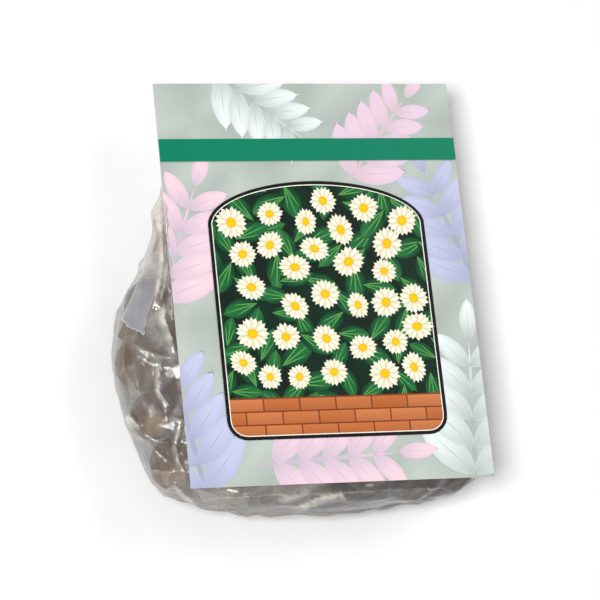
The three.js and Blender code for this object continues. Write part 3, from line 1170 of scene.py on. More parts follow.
@dataclass
class BulbHeap:
    """The bulbs in the bag, each with a papery skin and a dry neck."""

    LENGTH = 2.69  # from plate to tip, in body radii
    sides: int = 28
    seed: int = 12
    # Profile from the plate's middle to the tip: radius and height over the plate, in body radii.
    profile: tuple = (
        (0.0, 0.02), (0.2, 0.0), (0.34, 0.0), (0.42, 0.05), (0.57, 0.12), (0.77, 0.28), (0.9, 0.52),
        (0.98, 0.78), (0.985, 1.0), (0.94, 1.22), (0.85, 1.44), (0.67, 1.68), (0.46, 1.9),
        (0.32, 2.1), (0.22, 2.3), (0.17, 2.48), (0.15, 2.6), (0.09, 2.66), (0.0, 2.64),
    )

    def build(self) -> list:
        """Makes every bulb.

        Returns:
            The bulbs' objects.
        """
        finish = BulbFinish().material()
        chance = random.Random(self.seed)
        bulbs = []
        for node in sorted(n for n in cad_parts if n.startswith("bulb_")):
            bulb = self._body(BulbPlace.from_node(node), chance)
            dress(bulb, finish, (node,))
            bulbs.append(bulb)
        return bulbs

    def _body(self, place: BulbPlace, chance: random.Random) -> bpy.types.Object:
        """Spins one bulb's profile, roughens it and lays it in its place.

        Args:
            place: Where the bulb lies.
            chance: The source of its roughness.

        Returns:
            The bulb.
        """
        piece = mesh_piece(place.node + "_skin", [(r, 0.0, h) for r, h in self.profile], [])
        piece.data.edges.add(len(self.profile) - 1)
        for k, edge in enumerate(piece.data.edges):
            edge.vertices = (k, k + 1)
        pick_only(piece)
        bpy.ops.object.mode_set(mode="EDIT")
        bpy.ops.mesh.select_all(action="SELECT")
        bpy.ops.mesh.spin(steps=self.sides, angle=2 * math.pi, center=(0, 0, 0), axis=(0, 0, 1))
        bpy.ops.object.mode_set(mode="OBJECT")
        merge_points(piece, 1e-4)
        self._shape(piece, place, chance)
        return piece

    def _shape(self, piece: bpy.types.Object, place: BulbPlace, chance: random.Random) -> None:
        """Gives a spun body its ribs, flats and drooping neck, with its UV map and tones.

        Args:
            piece: The body.
            place: Where the bulb lies.
            chance: The source of its roughness.
        """
        shift = Vector([chance.uniform(-50, 50) for _ in range(3)])
        droop = chance.uniform(-0.12, 0.12)
        flat = chance.uniform(0.93, 1.0)
        roll = chance.uniform(0, 2 * math.pi)
        turn = Vector((0, 0, 1)).rotation_difference(place.axis).to_matrix().to_4x4()
        spot = Matrix.Rotation(roll, 4, "Z") @ Matrix.Scale(place.radius, 4)
        mesh = piece.data
        uv = mesh.uv_layers.new(name="skin")
        own = chance.random()
        plate, tone = [], []
        heights = [v.co.z for v in mesh.vertices]
        angles = [math.atan2(v.co.y, v.co.x) for v in mesh.vertices]
        for i, vertex in enumerate(mesh.vertices):
            p = vertex.co.copy()
            ring = Vector((math.cos(angles[i]), math.sin(angles[i]), 0))
            rib = noise.noise(Vector((ring.x * 5, ring.y * 5, p.z * 0.7)) + shift)
            dent = noise.noise(p * 1.3 + shift)
            swell = 0.958 + 0.02 * rib + 0.022 * dent
            neck = smooth_step(1.9, 2.6, p.z)
            swell -= 0.25 * neck * abs(rib)
            vertex.co = (p.x * swell * flat + droop * neck, p.y * swell, p.z - 0.03 * neck * rib)
            plate.append(1.0 - smooth_step(0.02, 0.16, p.z))
            tone.append(max(0.0, min(1.0, 0.6 * own + 0.5 * neck + 0.3 * dent)))
        write_values(piece, plate=plate, tone=tone)
        for polygon in mesh.polygons:
            near = angles[polygon.vertices[0]]
            for loop in polygon.loop_indices:
                index = mesh.loops[loop].vertex_index
                angle = angles[index]
                if angle - near > math.pi:
                    angle -= 2 * math.pi
                elif near - angle > math.pi:
                    angle += 2 * math.pi
                uv.data[loop].uv = (angle / (2 * math.pi), heights[index] / self.LENGTH)
        shade_smooth(piece)
        mesh.transform(Matrix.Translation(place.foot) @ turn @ spot)
        mesh.update()


@dataclass(frozen=True)
class Folds:
    """One family of straight film folds."""

    count: int
    length: tuple
    width: tuple
    height: tuple
    lengthwise: float


@dataclass(frozen=True)
class SeenFold:
    """One fold seen in the photograph, its line in millimetres on the card's plane.

    The side to the right of the line's run faces the light and carries a painted highlight.
    """

    line: tuple
    width: float
    height: float
    # strength of the painted highlight on the lit side
    pale: float


@dataclass
class FilmBag:
    """The clear film bag, drawn over the bulbs and crumpled into straight folds."""

    bulbs: list
    around: int = 376  # points round the bag
    cap_rings: int = 34  # rings that lean over the foot's end
    cap_depth: float = 0.03  # how far from the foot the leaning rings are seen from
    long_step: float = 0.00132  # between two upright rings
    seed: int = 31
    clear_of_bulbs: float = 0.0004
    off_floor: float = 0.00005
    dusty_from: float = 74.0  # millimetres across the card; the painted shade at the foot sets in here and deepens to the right
    sink: float = 0.001  # how far the film is drawn in between the bulbs
    most_height: float = 0.004  # of any fold or facet over the smooth film
    # Flat facets of two sizes: how many, how far they reach and how fine their swell is.
    facets: tuple = ((1300, 0.0011, 50.0), (5000, 0.0004, 130.0))
    vent_radius: float = 0.003
    vent_depth: float = 0.012  # how high over the floor a vent's surroundings reach
    vent_columns: tuple = (38.0, 72.0, 138.0, 172.0)
    vent_rows: tuple = (45.0, 150.0)
    families: tuple = (
        Folds(44, (0.03, 0.075), (0.006, 0.014), (0.001, 0.0022), 1.0),
        Folds(60, (0.014, 0.034), (0.004, 0.009), (0.0006, 0.0014), 0.4),
        Folds(80, (0.006, 0.014), (0.002, 0.004), (0.0003, 0.0008), 0.0),
    )
    seen: tuple = (
        SeenFold(((-1.5, 203), (-3.2, 183), (-4, 154), (-9, 135), (-16, 117)), 3.6, 1.7, 1.0),
        SeenFold(((-0.4, 158), (-5.4, 135), (-9.6, 126), (-14, 115)), 1.6, 0.7, 0.7),
        SeenFold(((-6.3, 128), (-7.4, 115.5), (-4, 102), (-1.2, 88)), 4.4, 1.8, 1.0),
        SeenFold(((-1.5, 201), (-8.3, 187), (-13.3, 170), (-17, 159)), 9.0, 1.2, 0.5),
        SeenFold(((-36, 102.5), (-25, 95.5), (-10.6, 89), (0, 88)), 5.5, 2.2, 0.35),
        SeenFold(((-12, 88), (-15.7, 66), (-10.4, 57), (-11, 49)), 3.4, 1.8, 0.9),
        SeenFold(((-11, 49), (-1.4, 45.6), (-4.7, 36), (-7.7, 29), (-6.3, 19), (-2, 7)), 3.2, 1.6, 0.75),
        SeenFold(((-11, 49), (-3, 55)), 2.4, 1.0, 0.5),
        SeenFold(((-40, 54.6), (-36.6, 39), (-27, 32.7), (-18, 23), (-12, 18)), 4.0, 1.8, 0.45),
        SeenFold(((-38, 52), (-30, 41)), 5.5, 1.5, 1.0),
        SeenFold(((-25.6, 13.3), (-11, 11.4)), 2.6, 1.0, 0.7),
        SeenFold(((-20, 0), (-10, 2.7), (-0.7, -6.3), (5.3, -13)), 4.2, 1.8, 0.7),
        SeenFold(((16.6, -1.5), (33, -4.5), (48, -3.5)), 3.0, 1.0, 0.3),
        SeenFold(((56, -10), (74, -6.6), (82, -2.3)), 4.0, 1.6, 0.6),
        SeenFold(((66, -15.7), (84, -9.7), (101, -6.4), (107, -15.4)), 5.0, 2.0, 0.8),
        SeenFold(((119, -2.4), (125, -1.5)), 1.6, 0.5, 1.0),
    )

    def build(self) -> bpy.types.Object:
        """Makes the film.

        Returns:
            The film's object.
        """
        self.low, self.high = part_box("bag")
        self.card = CardPlace.from_frame()
        self.skin = search_tree(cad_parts["bag"].data)
        self.vents = [
            (self.card.corner.x + column * MM, self.card.corner.y + row * MM)
            for column in self.vent_columns for row in self.vent_rows
        ]
        film = mesh_piece("film_bag", *self._grid())
        merge_points(film, 2e-5)
        self._crumple(film)
        self._punch(film)
        shade_smooth(film)
        dress(film, FilmFinish().material(), ("bag",))
        return film

    def _slice(self, y: float) -> tuple:
        """Finds the side limits and the middle height of the bag at one place along it.

        Args:
            y: The place along the bag.

        Returns:
            The left limit, the right limit and the middle height.
        """
        x = (self.low.x + self.high.x) / 2 + 0.0021
        clear = 0.05
        top = self._cast((x, y, self.high.z + clear), (0, 0, -1))
        under = self._cast((x, y, self.low.z - clear), (0, 0, 1))
        level = (top.z + under.z) / 2
        left = self._cast((self.low.x - clear, y, level), (1, 0, 0))
        right = self._cast((self.high.x + clear, y, level), (-1, 0, 0))
        return left.x, right.x, level

    def _cast(self, start: tuple, way: tuple) -> Vector:
        """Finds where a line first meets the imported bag."""
        return self.skin.ray_cast(Vector(start), Vector(way))[0]

    def _grid(self) -> tuple:
        """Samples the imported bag's outer skin in rings from the foot's weld to the head.

        Returns:
            The points and the faces.
        """
        start = self.low.y + self.cap_depth
        head = self.high.y - 0.0005
        count = int((head - start) / self.long_step)
        stations = [(start, math.pi / 2 * (1 - k / self.cap_rings)) for k in range(self.cap_rings)]
        stations += [(start + (head - start) * k / count, 0.0) for k in range(count + 1)]
        points = []
        for y, tilt in stations:
            points.extend(self._ring(y, tilt))
        rings = len(stations)
        faces = []
        for i in range(rings - 1):
            low, high = i * self.around, (i + 1) * self.around
            for k in range(self.around):
                n = (k + 1) % self.around
                faces.append((low + k, low + n, high + n, high + k))
        last = (rings - 1) * self.around
        for k in range(self.around // 2):
            far = (self.around - k) % self.around
            mirror = (last + k, last + k + 1, last + self.around - 1 - k, last + far)
            corners = tuple(dict.fromkeys(mirror))
            if len(corners) > 2:
                faces.append(corners)
        return points, faces

    def _ring(self, y: float, tilt: float) -> list:
        """Gives one ring of points on the skin.

        Args:
            y: The place along the bag that the ring is seen from.
            tilt: How far the ring leans towards the foot, in radians.

        Returns:
            The ring's points.
        """
        left, right, level = self._slice(y)
        depth = min(0.03, (right - left) * 0.2, max(0.0015, level * 0.9))
        inner_left, inner_right = left + depth, right - depth
        straight = inner_right - inner_left
        cap = math.pi * depth
        length = 2 * (straight + cap)
        outside = 0.3  # metres, farther than the bag reaches
        # The ring starts at the right and runs over the top, round the left and along the underside.
        bounds = (cap / 2, cap / 2 + straight, 1.5 * cap + straight, 1.5 * cap + 2 * straight)
        ring = []
        for k in range(self.around):
            run = length * k / self.around
            if run < bounds[0]:
                base, turn = inner_right, run / depth
            elif run < bounds[1]:
                base, turn = inner_right - (run - bounds[0]), math.pi / 2
            elif run < bounds[2]:
                base, turn = inner_left, math.pi / 2 + (run - bounds[1]) / depth
            elif run < bounds[3]:
                base, turn = inner_left + (run - bounds[2]), 1.5 * math.pi
            else:
                base, turn = inner_right, 1.5 * math.pi + (run - bounds[3]) / depth
            lean = math.cos(tilt)
            way = Vector((math.cos(turn) * lean, -math.sin(tilt), math.sin(turn) * lean))
            middle = Vector((base, y, level))
            hit = self.skin.ray_cast(middle + way * outside, -way, outside)[0]
            ring.append(self._close_vent(hit) if hit else middle + way * MM)
        return ring

    def _close_vent(self, hit: Vector) -> Vector:
        """Brings a point that fell through a vent back to the underside beside the vent.

        Args:
            hit: The point.

        Returns:
            The point, or its new place.
        """
        for x, y in self.vents:
            inside = math.hypot(hit.x - x, hit.y - y) < self.vent_radius * 1.15
            if inside and hit.z > self.low.z + 0.0002:
                rim = self._cast((x + self.vent_radius * 1.6, y, self.low.z - 0.01), (0, 0, 1))
                if hit.z < rim.z + 0.03:
                    return Vector((hit.x, hit.y, rim.z))
        return hit

    def _punch(self, film: bpy.types.Object) -> None:
        """Opens the vents in the underside and rounds their rims.

        Args:
            film: The film.
        """
        mesh = bmesh.new()
        mesh.from_mesh(film.data)
        limit = self.low.z + self.vent_depth
        for x, y in self.vents:
            middles = [(face, face.calc_center_median()) for face in mesh.faces]
            gone = [face for face, middle in middles if middle.z < limit
                    and math.hypot(middle.x - x, middle.y - y) < self.vent_radius]
            bmesh.ops.delete(mesh, geom=gone, context="FACES")
            for edge in [edge for edge in mesh.edges if edge.is_boundary]:
                for vertex in edge.verts:
                    far = math.hypot(vertex.co.x - x, vertex.co.y - y)
                    if 1e-6 < far < self.vent_radius * 2:
                        vertex.co.x = x + (vertex.co.x - x) * self.vent_radius / far
                        vertex.co.y = y + (vertex.co.y - y) * self.vent_radius / far
        loose = [v for v in mesh.verts if not v.link_faces]
        bmesh.ops.delete(mesh, geom=loose, context="VERTS")
        mesh.to_mesh(film.data)
        mesh.free()

    def _crumple(self, film: bpy.types.Object) -> None:
        """Draws the film in between the bulbs and gives it its folds and creases.

        Args:
            film: The smooth film.
        """
        mesh = film.data
        count = len(mesh.vertices)
        places = np.empty(count * 3)
        normals = np.empty(count * 3)
        mesh.vertices.foreach_get("co", places)
        mesh.vertices.foreach_get("normal", normals)
        places, normals = places.reshape(-1, 3), normals.reshape(-1, 3)
        room = self._room(places, normals)
        free = self._free(places)
        height, crease = self._folds(places, normals)
        levels = [self._facets(film, places, normals, *facet) for facet in self.facets]
        # The facets' edges add their painted highlights.
        for flat, ridge, _ in levels:
            height += flat
            crease = np.maximum(crease, ridge)
        slack = 1.4 * noise_field(places, 26.0, self.seed)
        shift = (height - np.minimum(room * 0.6, self.sink) * slack) * free
        shift = np.maximum(shift, -np.maximum(room - self.clear_of_bulbs, 0.0))
        moved = places + normals * shift[:, None]
        moved[:, 2] = np.maximum(moved[:, 2], self.off_floor)
        mesh.vertices.foreach_set("co", moved.ravel())
        gap = ramp(room + 0.3 * shift, 0.0015, 0.0045)
        panes = [self._panes(pane_of, room) for _, _, pane_of in levels]
        gap = 0.3 * gap + 0.5 * panes[0][0] + 0.2 * panes[1][0]
        # Random tone of each facet, painted as the light and shade that it catches.
        pane = 0.5 * panes[0][1] + 0.5 * panes[1][1]
        across, up = seen_on_card(places, self.card)
        bare = ramp(room, 0.006, 0.012) * ramp(up, 92.0, 142.0)
        bare = np.maximum(bare, np.minimum(ramp(up, 130.0, 158.0), 0.95))
        # Painted shade at the bag's foot, below the card's foot edge and right of its middle.
        dust = ramp(across, self.dusty_from, self.dusty_from + 30.0) * ramp(-up, -10.0, -3.0)
        dust *= np.maximum(ramp(places[:, 2], 0.004, 0.014), 0.3) * (0.6 + 0.4 * pane)
        # Painted highlight ring round each vent's cut rim.
        rim = np.zeros(count)
        rim_width, far_off = 0.0009, 100.0
        for x, y in self.vents:
            far = np.hypot(places[:, 0] - x, places[:, 1] - y)
            far += far_off * (places[:, 2] > self.vent_depth)
            rim = np.maximum(rim, ramp(-np.abs(far - self.vent_radius), -rim_width, 0.0))
        crease = np.maximum(crease * free, rim)
        write_values(film, crease=crease, gap=gap, dust=dust, pane=pane, bare=bare)
        mesh.update()

    def _facets(self, film: bpy.types.Object, places: np.ndarray, normals: np.ndarray, count: int,
                shift: float, scale: float) -> tuple:
        """Measures the way from the film to a coarse faceted copy of it, as stiff film crumples flat.

        Args:
            film: The film.
            places: Its points.
            normals: Their outward directions.
            count: How many facets the copy has.
            shift: How far the crumples reach, in metres.
            scale: How fine the crumples are, per metre.

        Returns:
            The height of the facets over each point, the painted highlight along their edges, 0 to 1,
            and its facet.
        """
        pick_only(film)
        bpy.ops.object.duplicate()
        coarse = bpy.context.object
        swell = (noise_field(places, scale, self.seed + count) - 0.5) * 1.6 * shift
        coarse.data.vertices.foreach_set("co", (places + normals * swell[:, None]).ravel())
        fewer = coarse.modifiers.new("facets", "DECIMATE")
        fewer.ratio = count / (2.0 * len(coarse.data.polygons))
        bpy.ops.object.modifier_apply(modifier=fewer.name)
        chance = random.Random(self.seed)
        mesh = bmesh.new()
        mesh.from_mesh(coarse.data)
        for vertex, way in [(v, v.normal.copy()) for v in mesh.verts]:
            vertex.co += way * chance.uniform(-0.75, 0.95) * shift
        # Each facet edge's painted highlight: stronger where the facets bend more, and random.
        strength = {}
        for edge in mesh.edges:
            bend = smooth_step(0.12, 0.7, abs(edge.calc_face_angle(0.0)))
            strength[frozenset(v.index for v in edge.verts)] = bend * chance.uniform(0.2, 1)
        corners = [v.co.copy() for v in mesh.verts]
        faces = [tuple(v.index for v in f.verts) for f in mesh.faces]
        mesh.free()
        bpy.data.objects.remove(coarse)
        tree = BVHTree.FromPolygons(corners, faces)
        search = 2 * self.most_height
        height = np.zeros(len(places))
        ridge = np.zeros(len(places))
        pane_of = np.zeros(len(places), dtype=int)
        for i, (place, normal) in enumerate(zip(places, normals)):
            start, way = Vector(place), Vector(normal)
            hit, _, face, far = tree.ray_cast(start + way * search, -way, 2 * search)
            if hit is None:
                continue
            height[i] = search - far
            pane_of[i] = face
            ring = faces[face]
            for one, two in zip(ring, ring[1:] + ring[:1]):
                line = corners[two] - corners[one]
                share = max(0.0, min(1.0, (hit - corners[one]).dot(line) / line.length_squared))
                away = (hit - corners[one] - line * share).length / 0.001
                ridge[i] = max(ridge[i], strength[frozenset((one, two))] * math.exp(-(away**2)))
        return np.clip(height, -self.most_height, self.most_height), ridge * 0.6, pane_of

    def _panes(self, pane_of: np.ndarray, room: np.ndarray) -> tuple:
        """Gives each facet one haze by its mean way to the bulbs, and one random tone of painted light and
        shade.

        Args:
            pane_of: The facet of each point.
            room: The free way inwards at each point.

        Returns:
            The haze and the painted light tone at each point, both 0 to 1.
        """
        count = np.bincount(pane_of)
        mean = np.bincount(pane_of, weights=room) / np.maximum(count, 1)
        low, high = np.percentile(mean[count > 0], (22, 62))
        chance = np.random.default_rng(self.seed + 1)
        tones = chance.random(len(mean))
        haze = np.clip((mean - low) / (high - low), 0.0, 1.0) + chance.uniform(-0.85, 0.2, len(mean))
        return np.clip(haze, 0.0, 1.0)[pane_of], tones[pane_of]

    def _room(self, places: np.ndarray, normals: np.ndarray) -> np.ndarray:
        """Measures the free way from each point of the film inwards to the bulbs.

        Args:
            places: The film's points.
            normals: Their outward directions.

        Returns:
            The free way at each point, in metres.
        """
        heap = search_tree(*(bulb.data for bulb in self.bulbs))
        most = 0.02
        room = np.full(len(places), most)
        for i, (place, normal) in enumerate(zip(places, normals)):
            hit = heap.ray_cast(Vector(place), -Vector(normal), most)
            if hit[0] is not None:
                room[i] = hit[3]
            near = heap.find_nearest(Vector(place), 0.006)
            if near[0] is not None:
                room[i] = min(room[i], near[3])
        return room

    def _free(self, places: np.ndarray) -> np.ndarray:
        """Gives 0 where the film is pressed to the card's back or the floor, and 1 where it is free.

        Args:
            places: The film's points.

        Returns:
            How free each point is, 0 to 1.
        """
        normal, corner = np.array(self.card.normal), np.array(self.card.corner)
        depth = (corner - places) @ normal - self.card.thickness
        give = 0.003
        free = ramp(depth, 0.0004, 0.0004 + give)
        beside = np.clip((self.card.corner.x + 0.001 - places[:, 0]) / give, 0.0, 1.0)
        floor = np.clip(0.25 + places[:, 2] / give, 0.0, 1.0)
        return np.maximum(free, beside) * floor

    def _folds(self, places: np.ndarray, normals: np.ndarray) -> tuple:
        """Adds up straight folds, each with a sharp crease and its own two slopes.

        Args:
            places: The film's points.
            normals: Their outward directions.

        Returns:
            The height in metres, and the painted highlight along the folds' ridge lines, 0 to 1.
        """
        chance = np.random.default_rng(self.seed)
        faintness = 0.28
        height = np.zeros(len(places))
        crease = np.zeros(len(places))
        for family in self.families:
            for _ in range(family.count):
                pick = chance.integers(len(places))
                centre, normal = places[pick], normals[pick]
                along = chance.normal(size=3)
                along[1] += family.lengthwise * chance.choice((-2.5, 2.5))
                way = np.cross(normal, along)
                way /= np.linalg.norm(way)
                length = chance.uniform(*family.length)
                width = chance.uniform(*family.width)
                size = chance.uniform(*family.height) * chance.choice((-0.7, 1.0))
                slopes = width * np.array((chance.uniform(0.35, 0.8), chance.uniform(0.9, 1.6)))
                offset = places - centre
                near = np.nonzero(np.abs(offset).max(axis=1) < length * 1.6)[0]
                offset = offset[near]
                across = offset @ way
                rest = np.sqrt(np.maximum((offset**2).sum(axis=1) - across**2, 0.0))
                facing = np.clip(normals[near] @ normal * 2.0, 0.0, 1.0)
                window = np.exp(-((rest / length) ** 4)) * facing
                slope = np.where(across > 0, slopes[0], slopes[1])
                ridge = np.maximum(0.0, 1.0 - np.abs(across) / slope)
                height[near] += size * ridge * window
                # Painted highlight along the fold's ridge line, fainter on low folds.
                line = np.exp(-((across / 0.0008) ** 2)) * window * min(1.0, abs(size) / 0.0012)
                crease[near] = np.maximum(crease[near], line)
        crease *= faintness
        self._seen_folds(places, normals, height, crease)
        return np.clip(height, -self.most_height, self.most_height), np.clip(crease, 0.0, 1.0)

    def _seen_folds(self, places: np.ndarray, normals: np.ndarray, height: np.ndarray,
                    crease: np.ndarray) -> None:
        """Adds the folds that the photograph shows, on the side of the film that faces it.

        Args:
            places: The film's points.
            normals: Their outward directions.
            height: The folds' height so far, which is added to.
            crease: The painted highlights along the folds so far, which are added to.
        """
        across, up = seen_on_card(places, self.card)
        sight = np.array(EYE) - places
        facing = (normals * sight).sum(axis=1) / np.linalg.norm(sight, axis=1)
        seen = np.clip(facing * 6.0, 0.0, 1.0)
        for fold in self.seen:
            far = np.full(len(places), 1e3)
            side = np.zeros(len(places))
            run = np.zeros(len(places))
            steps = [math.dist(one, two) for one, two in zip(fold.line, fold.line[1:])]
            done = 0.0
            for (x0, y0), (x1, y1), step in zip(fold.line, fold.line[1:], steps):
                dx, dy = x1 - x0, y1 - y0
                share = np.clip(((across - x0) * dx + (up - y0) * dy) / step**2, 0.0, 1.0)
                off_x, off_y = across - x0 - share * dx, up - y0 - share * dy
                away = np.hypot(off_x, off_y)
                nearer = away < far
                far = np.where(nearer, away, far)
                side = np.where(nearer, dx * off_y - dy * off_x, side)
                run = np.where(nearer, (done + share * step) / sum(steps), run)
                done += step
            taper = np.clip(4.0 * np.minimum(run, 1.0 - run) + 0.2, 0.0, 1.0) * seen
            slope = fold.width * np.where(side < 0, 1.25, 0.45)
            rise = np.maximum(0.0, 1.0 - far / slope)
            # Painted highlight: broad on the side that faces the light, a thin line on the other.
            lit = np.where(side < 0, rise**0.8, np.exp(-((far / 0.5) ** 2)))
            height += 1.1 * fold.height * MM * rise * taper
            np.maximum(crease, fold.pale * lit * taper, out=crease)


@dataclass(frozen=True)
class Lap:
    """A loose sheet of film that lies over the rest, with corners in millimetres on the card's plane."""

    name: str
    corners: tuple  # foot left, foot right, head right, head left
    lift: float  # millimetres over what it lies on
    curl: float  # how much farther its foot lifts, in millimetres
    folded: float  # how much it looks like doubled film, 0 to 1
    fade: float  # the share of its length over which it melts into the film at its head
    pleats: tuple  # where pleats run along the lap, as shares of its width; each carries a painted highlight


@dataclass
class FilmLaps:
    """The folded flap at the bag's left shoulder, and the lip that laps the card's edge."""

    film: bpy.types.Object
    cells: int = 26
    seed: int = 5
    laps: tuple = (
        Lap("film_flap", ((-36.5, 115), (-23.0, 103), (-4.6, 154), (-13.0, 158)),
            0.35, 0.6, 0.95, 0.5, ()),
        Lap("film_lip_edge", ((-3.6, 119), (-0.6, 113), (1.5, 199), (-1.4, 205)),
            0.3, 0.2, 0.1, 0.12, (0.3, 0.75)),
    )

    def build(self) -> None:
        """Makes every lap."""
        card = CardPlace.from_frame()
        finish = FilmFinish().material()
        skin = search_tree(self.film.data)
        for lap in self.laps:
            dress(self._sheet(lap, card, skin), finish)

    def _sheet(self, lap: Lap, card: CardPlace, skin: BVHTree) -> bpy.types.Object:
        """Lays one lap on the film and the card.

        Args:
            lap: The lap.
            card: The card's place.
            skin: The film's search tree.

        Returns:
            The lap's piece.
        """
        count = self.cells + 1
        depth = np.full((count, count), np.nan)
        lines = []
        for i in range(count):
            for k in range(count):
                u, v = k / self.cells, i / self.cells
                foot = blend(lap.corners[0], lap.corners[1], u)
                head = blend(lap.corners[3], lap.corners[2], u)
                across, up = blend(foot, head, v)
                waver = 2.0 * noise.noise(Vector((across * 0.14, up * 0.14, self.seed)))
                waver += 0.9 * noise.noise(Vector((across * 0.5, up * 0.5, self.seed)))
                line = (card.point(across + waver, up + 0.6 * waver) - EYE).normalized()
                lines.append(line)
                hit = skin.ray_cast(EYE, line)
                if hit[0] is not None:
                    depth[i, k] = hit[3]
                if 0 <= across and 0 <= up:
                    face = (card.corner - EYE).dot(card.normal) / line.dot(card.normal)
                    depth[i, k] = min(face, depth[i, k]) if hit[0] is not None else face
        depth = self._settled(depth)
        points, crease, fading = [], [], []
        for i in range(count):
            for k in range(count):
                u, v = k / self.cells, i / self.cells
                rim = min(u, 1 - u, v, 1 - v)
                fading.append(smooth_step(1 - lap.fade, 0.97, v))
                ripple = noise.noise(Vector((u * 3.0, v * 3.0, self.seed * 1.7))) * 0.8
                lift = lap.lift + lap.curl * (1 - v) ** 3 + ripple * smooth_step(0.0, 0.3, rim)
                pleat = max((math.exp(-(((u - at) / 0.12) ** 2)) for at in lap.pleats), default=0.0)
                pleat *= 0.7 + 0.6 * noise.noise(Vector((v * 9.0, u * 2.0, self.seed)))
                points.append(EYE + lines[i * count + k] * (depth[i, k] - (lift + 0.5 * pleat) * MM))
                # Painted highlight along the lap's rim and its pleats.
                crease.append(max(0.55 * (1 - smooth_step(0.0, 0.05, rim)), pleat))
        piece = mesh_piece(lap.name, points, grid_faces(count, count))
        write_values(piece, crease=crease, gap=[1.0] * len(points), fading=fading,
                     fold=[lap.folded] * len(points))
        shade_smooth(piece)
        return piece

    def _settled(self, depth: np.ndarray) -> np.ndarray:
        """Fills the missing depths and spans the hollows, as a stiff film does.

        Args:
            depth: The distance from the eye at each point, blank where the line of sight misses.

        Returns:
            The settled distances.
        """
        rounds = 60
        filled = np.where(np.isnan(depth), np.nanmean(depth), depth)
        for _ in range(rounds):
            wide = np.pad(filled, 1, mode="edge")
            mean = (wide[:-2, 1:-1] + wide[2:, 1:-1] + wide[1:-1, :-2] + wide[1:-1, 2:]) / 4
            filled = np.fmin(mean, depth)
        return filled


@dataclass
class FootWeld:
    """The narrow weld along the bag's foot, folded down against the film."""

    film: bpy.types.Object
    steps: int = 150
    seed: int = 9
    inset: float = 0.034  # how far from the bag's sides it starts
    level: float = 0.021  # its height over the floor
    # Its section in millimetres: how far it stands in from the film's face, and how far it rises.
    run: tuple = ((0.6, 0.8), (-1.3, 0.2), (-2.0, -1.6), (-1.7, -3.6), (-0.9, -5.0))

    def build(self) -> None:
        """Makes the weld."""
        skin = search_tree(self.film.data)
        low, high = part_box("bag")
        points, crease = [], []
        left, right = low.x + self.inset, high.x - self.inset
        for i in range(self.steps + 1):
            share = i / self.steps
            x = left + (right - left) * share
            wave = noise.noise(Vector((x * 60, 0.0, self.seed)))
            level = self.level + 0.0022 * noise.noise(Vector((x * 22, 3.0, self.seed)))
            fade = smooth_step(0.0, 0.06, share) * (1 - smooth_step(0.94, 1.0, share))
            for out, drop in self.run:
                z = level + drop * MM * (0.6 + 0.4 * fade)
                hit = skin.ray_cast(Vector((x, low.y - 0.05, z)), Vector((0, 1, 0)))[0]
                y = hit.y if hit else low.y
                stand = (out + 0.5 * wave * (out < 0)) * MM * (0.3 + 0.7 * fade)
                points.append(Vector((x, y + stand, z)))
                # Painted highlight along the weld's outer edge and its lowest fold, faint elsewhere.
                crease.append(0.5 if out > 0 or drop < -4 else 0.12 + 0.2 * abs(wave))
        weld = mesh_piece("film_foot_weld", points, grid_faces(self.steps + 1, len(self.run)))
        write_values(weld, crease=crease, gap=[0.8] * len(points), fold=[0.2] * len(points))
        shade_smooth(weld)
        dress(weld, FilmFinish().material())


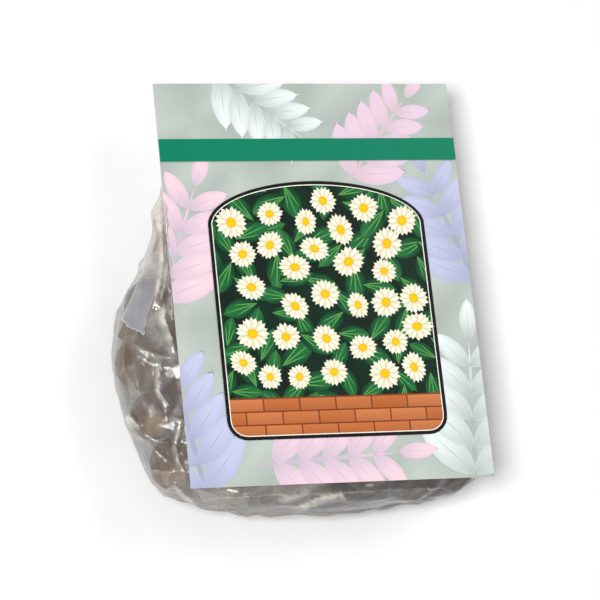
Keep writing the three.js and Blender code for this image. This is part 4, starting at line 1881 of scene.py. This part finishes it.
@dataclass
class Studio:
    """The camera at the photograph's place, the pale floor and the soft lights."""

    look: Vector = field(default_factory=lambda: Vector((0.2919, 0.2058, -0.934)))
    right: Vector = field(default_factory=lambda: Vector((0.9562, -0.0834, 0.2804)))
    focal_pixels: float = 3000.0
    frame_pixels: float = 600.0
    sensor: float = 36.0
    floor_side: float = 12.0
    floor_level: float = -0.0004  # just under the bag

    def build(self) -> None:
        """Sets up the camera, the floor, the lights and the surroundings."""
        self._camera()
        self._floor()
        self._light("key", (-1.3, -0.4, 2.6), 0.9, 66.0)
        self._light("fill", (2.2, 1.2, 2.2), 1.6, 32.0)
        self._light("low_front", (-1.6, -2.4, 1.2), 0.8, 7.0)
        self._surroundings()

    def _camera(self) -> None:
        """Places the camera by its line of sight and its right-hand side."""
        data = bpy.data.cameras.new("camera")
        data.sensor_width = self.sensor
        data.lens = self.sensor * self.focal_pixels / self.frame_pixels
        data.clip_end = 20.0
        camera = new_object("camera", data)
        back = -self.look.normalized()
        right = (self.right - back * self.right.dot(back)).normalized()
        turn = Matrix((right, back.cross(right), back)).transposed()
        camera.matrix_world = Matrix.Translation(EYE) @ turn.to_4x4()
        bpy.context.scene.camera = camera

    def _floor(self) -> None:
        """Lays the plain pale floor."""
        bpy.ops.object.select_all(action="DESELECT")
        bpy.ops.mesh.primitive_plane_add(size=self.floor_side, location=(0, 0, 0))
        floor = bpy.context.object
        floor.name = "studio_floor"
        kit = NodeKit("pale_floor")
        speck = kit.noise(kit.place(), 30.0, 2.0)
        share = kit.remap(speck, 0.3, 0.7, (0.0, 1.0))
        tone = kit.mix(share, linear(250, 250, 250), linear(247, 247, 248))
        kit.link(tone, kit.shader.inputs["Base Color"])
        kit.set(Roughness=0.9, Specular_IOR_Level=0.1)
        floor.data.materials.append(kit.material)
        floor.data.transform(Matrix.Translation((0, 0, self.floor_level)))
        floor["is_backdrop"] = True

    def _light(self, name: str, place: tuple, size: float, power: float) -> None:
        """Hangs a soft square light that faces the bag.

        Args:
            name: The light's name.
            place: Where it hangs, in metres.
            size: Its side, in metres.
            power: Its power, in watts.
        """
        data = bpy.data.lights.new(name, "AREA")
        data.shape = "SQUARE"
        data.size = size
        data.energy = power
        light = new_object(name, data)
        light.location = place
        light.rotation_mode = "QUATERNION"
        light.rotation_quaternion = (-Vector(place)).to_track_quat("-Z", "Y")

    def _surroundings(self) -> None:
        """Lights the room evenly and keeps the colours plain."""
        world = bpy.data.worlds.new("room")
        world.use_nodes = True
        ground = world.node_tree.nodes["Background"]
        ground.inputs["Color"].default_value = (1.0, 1.0, 1.0, 1.0)
        ground.inputs["Strength"].default_value = 0.27
        bpy.context.scene.world = world
        bpy.context.scene.view_settings.view_transform = "Standard"


def write_sizes() -> None:
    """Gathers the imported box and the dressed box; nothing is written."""
    boxes = {"cad": CAD_BOX, "visual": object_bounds()}
    lines = {name: [list(corner) for corner in corners] for name, corners in boxes.items()}


def main() -> None:
    """Builds the studio and every sub-assembly in order."""
    Studio().build()
    card = CardPlace.from_frame()
    Board(card).build()
    CardPrint(card).build()
    bulbs = BulbHeap().build()
    film = FilmBag(bulbs).build()
    FilmLaps(film).build()
    FootWeld(film).build()
    write_sizes()


if __name__ == "__main__":
    main()
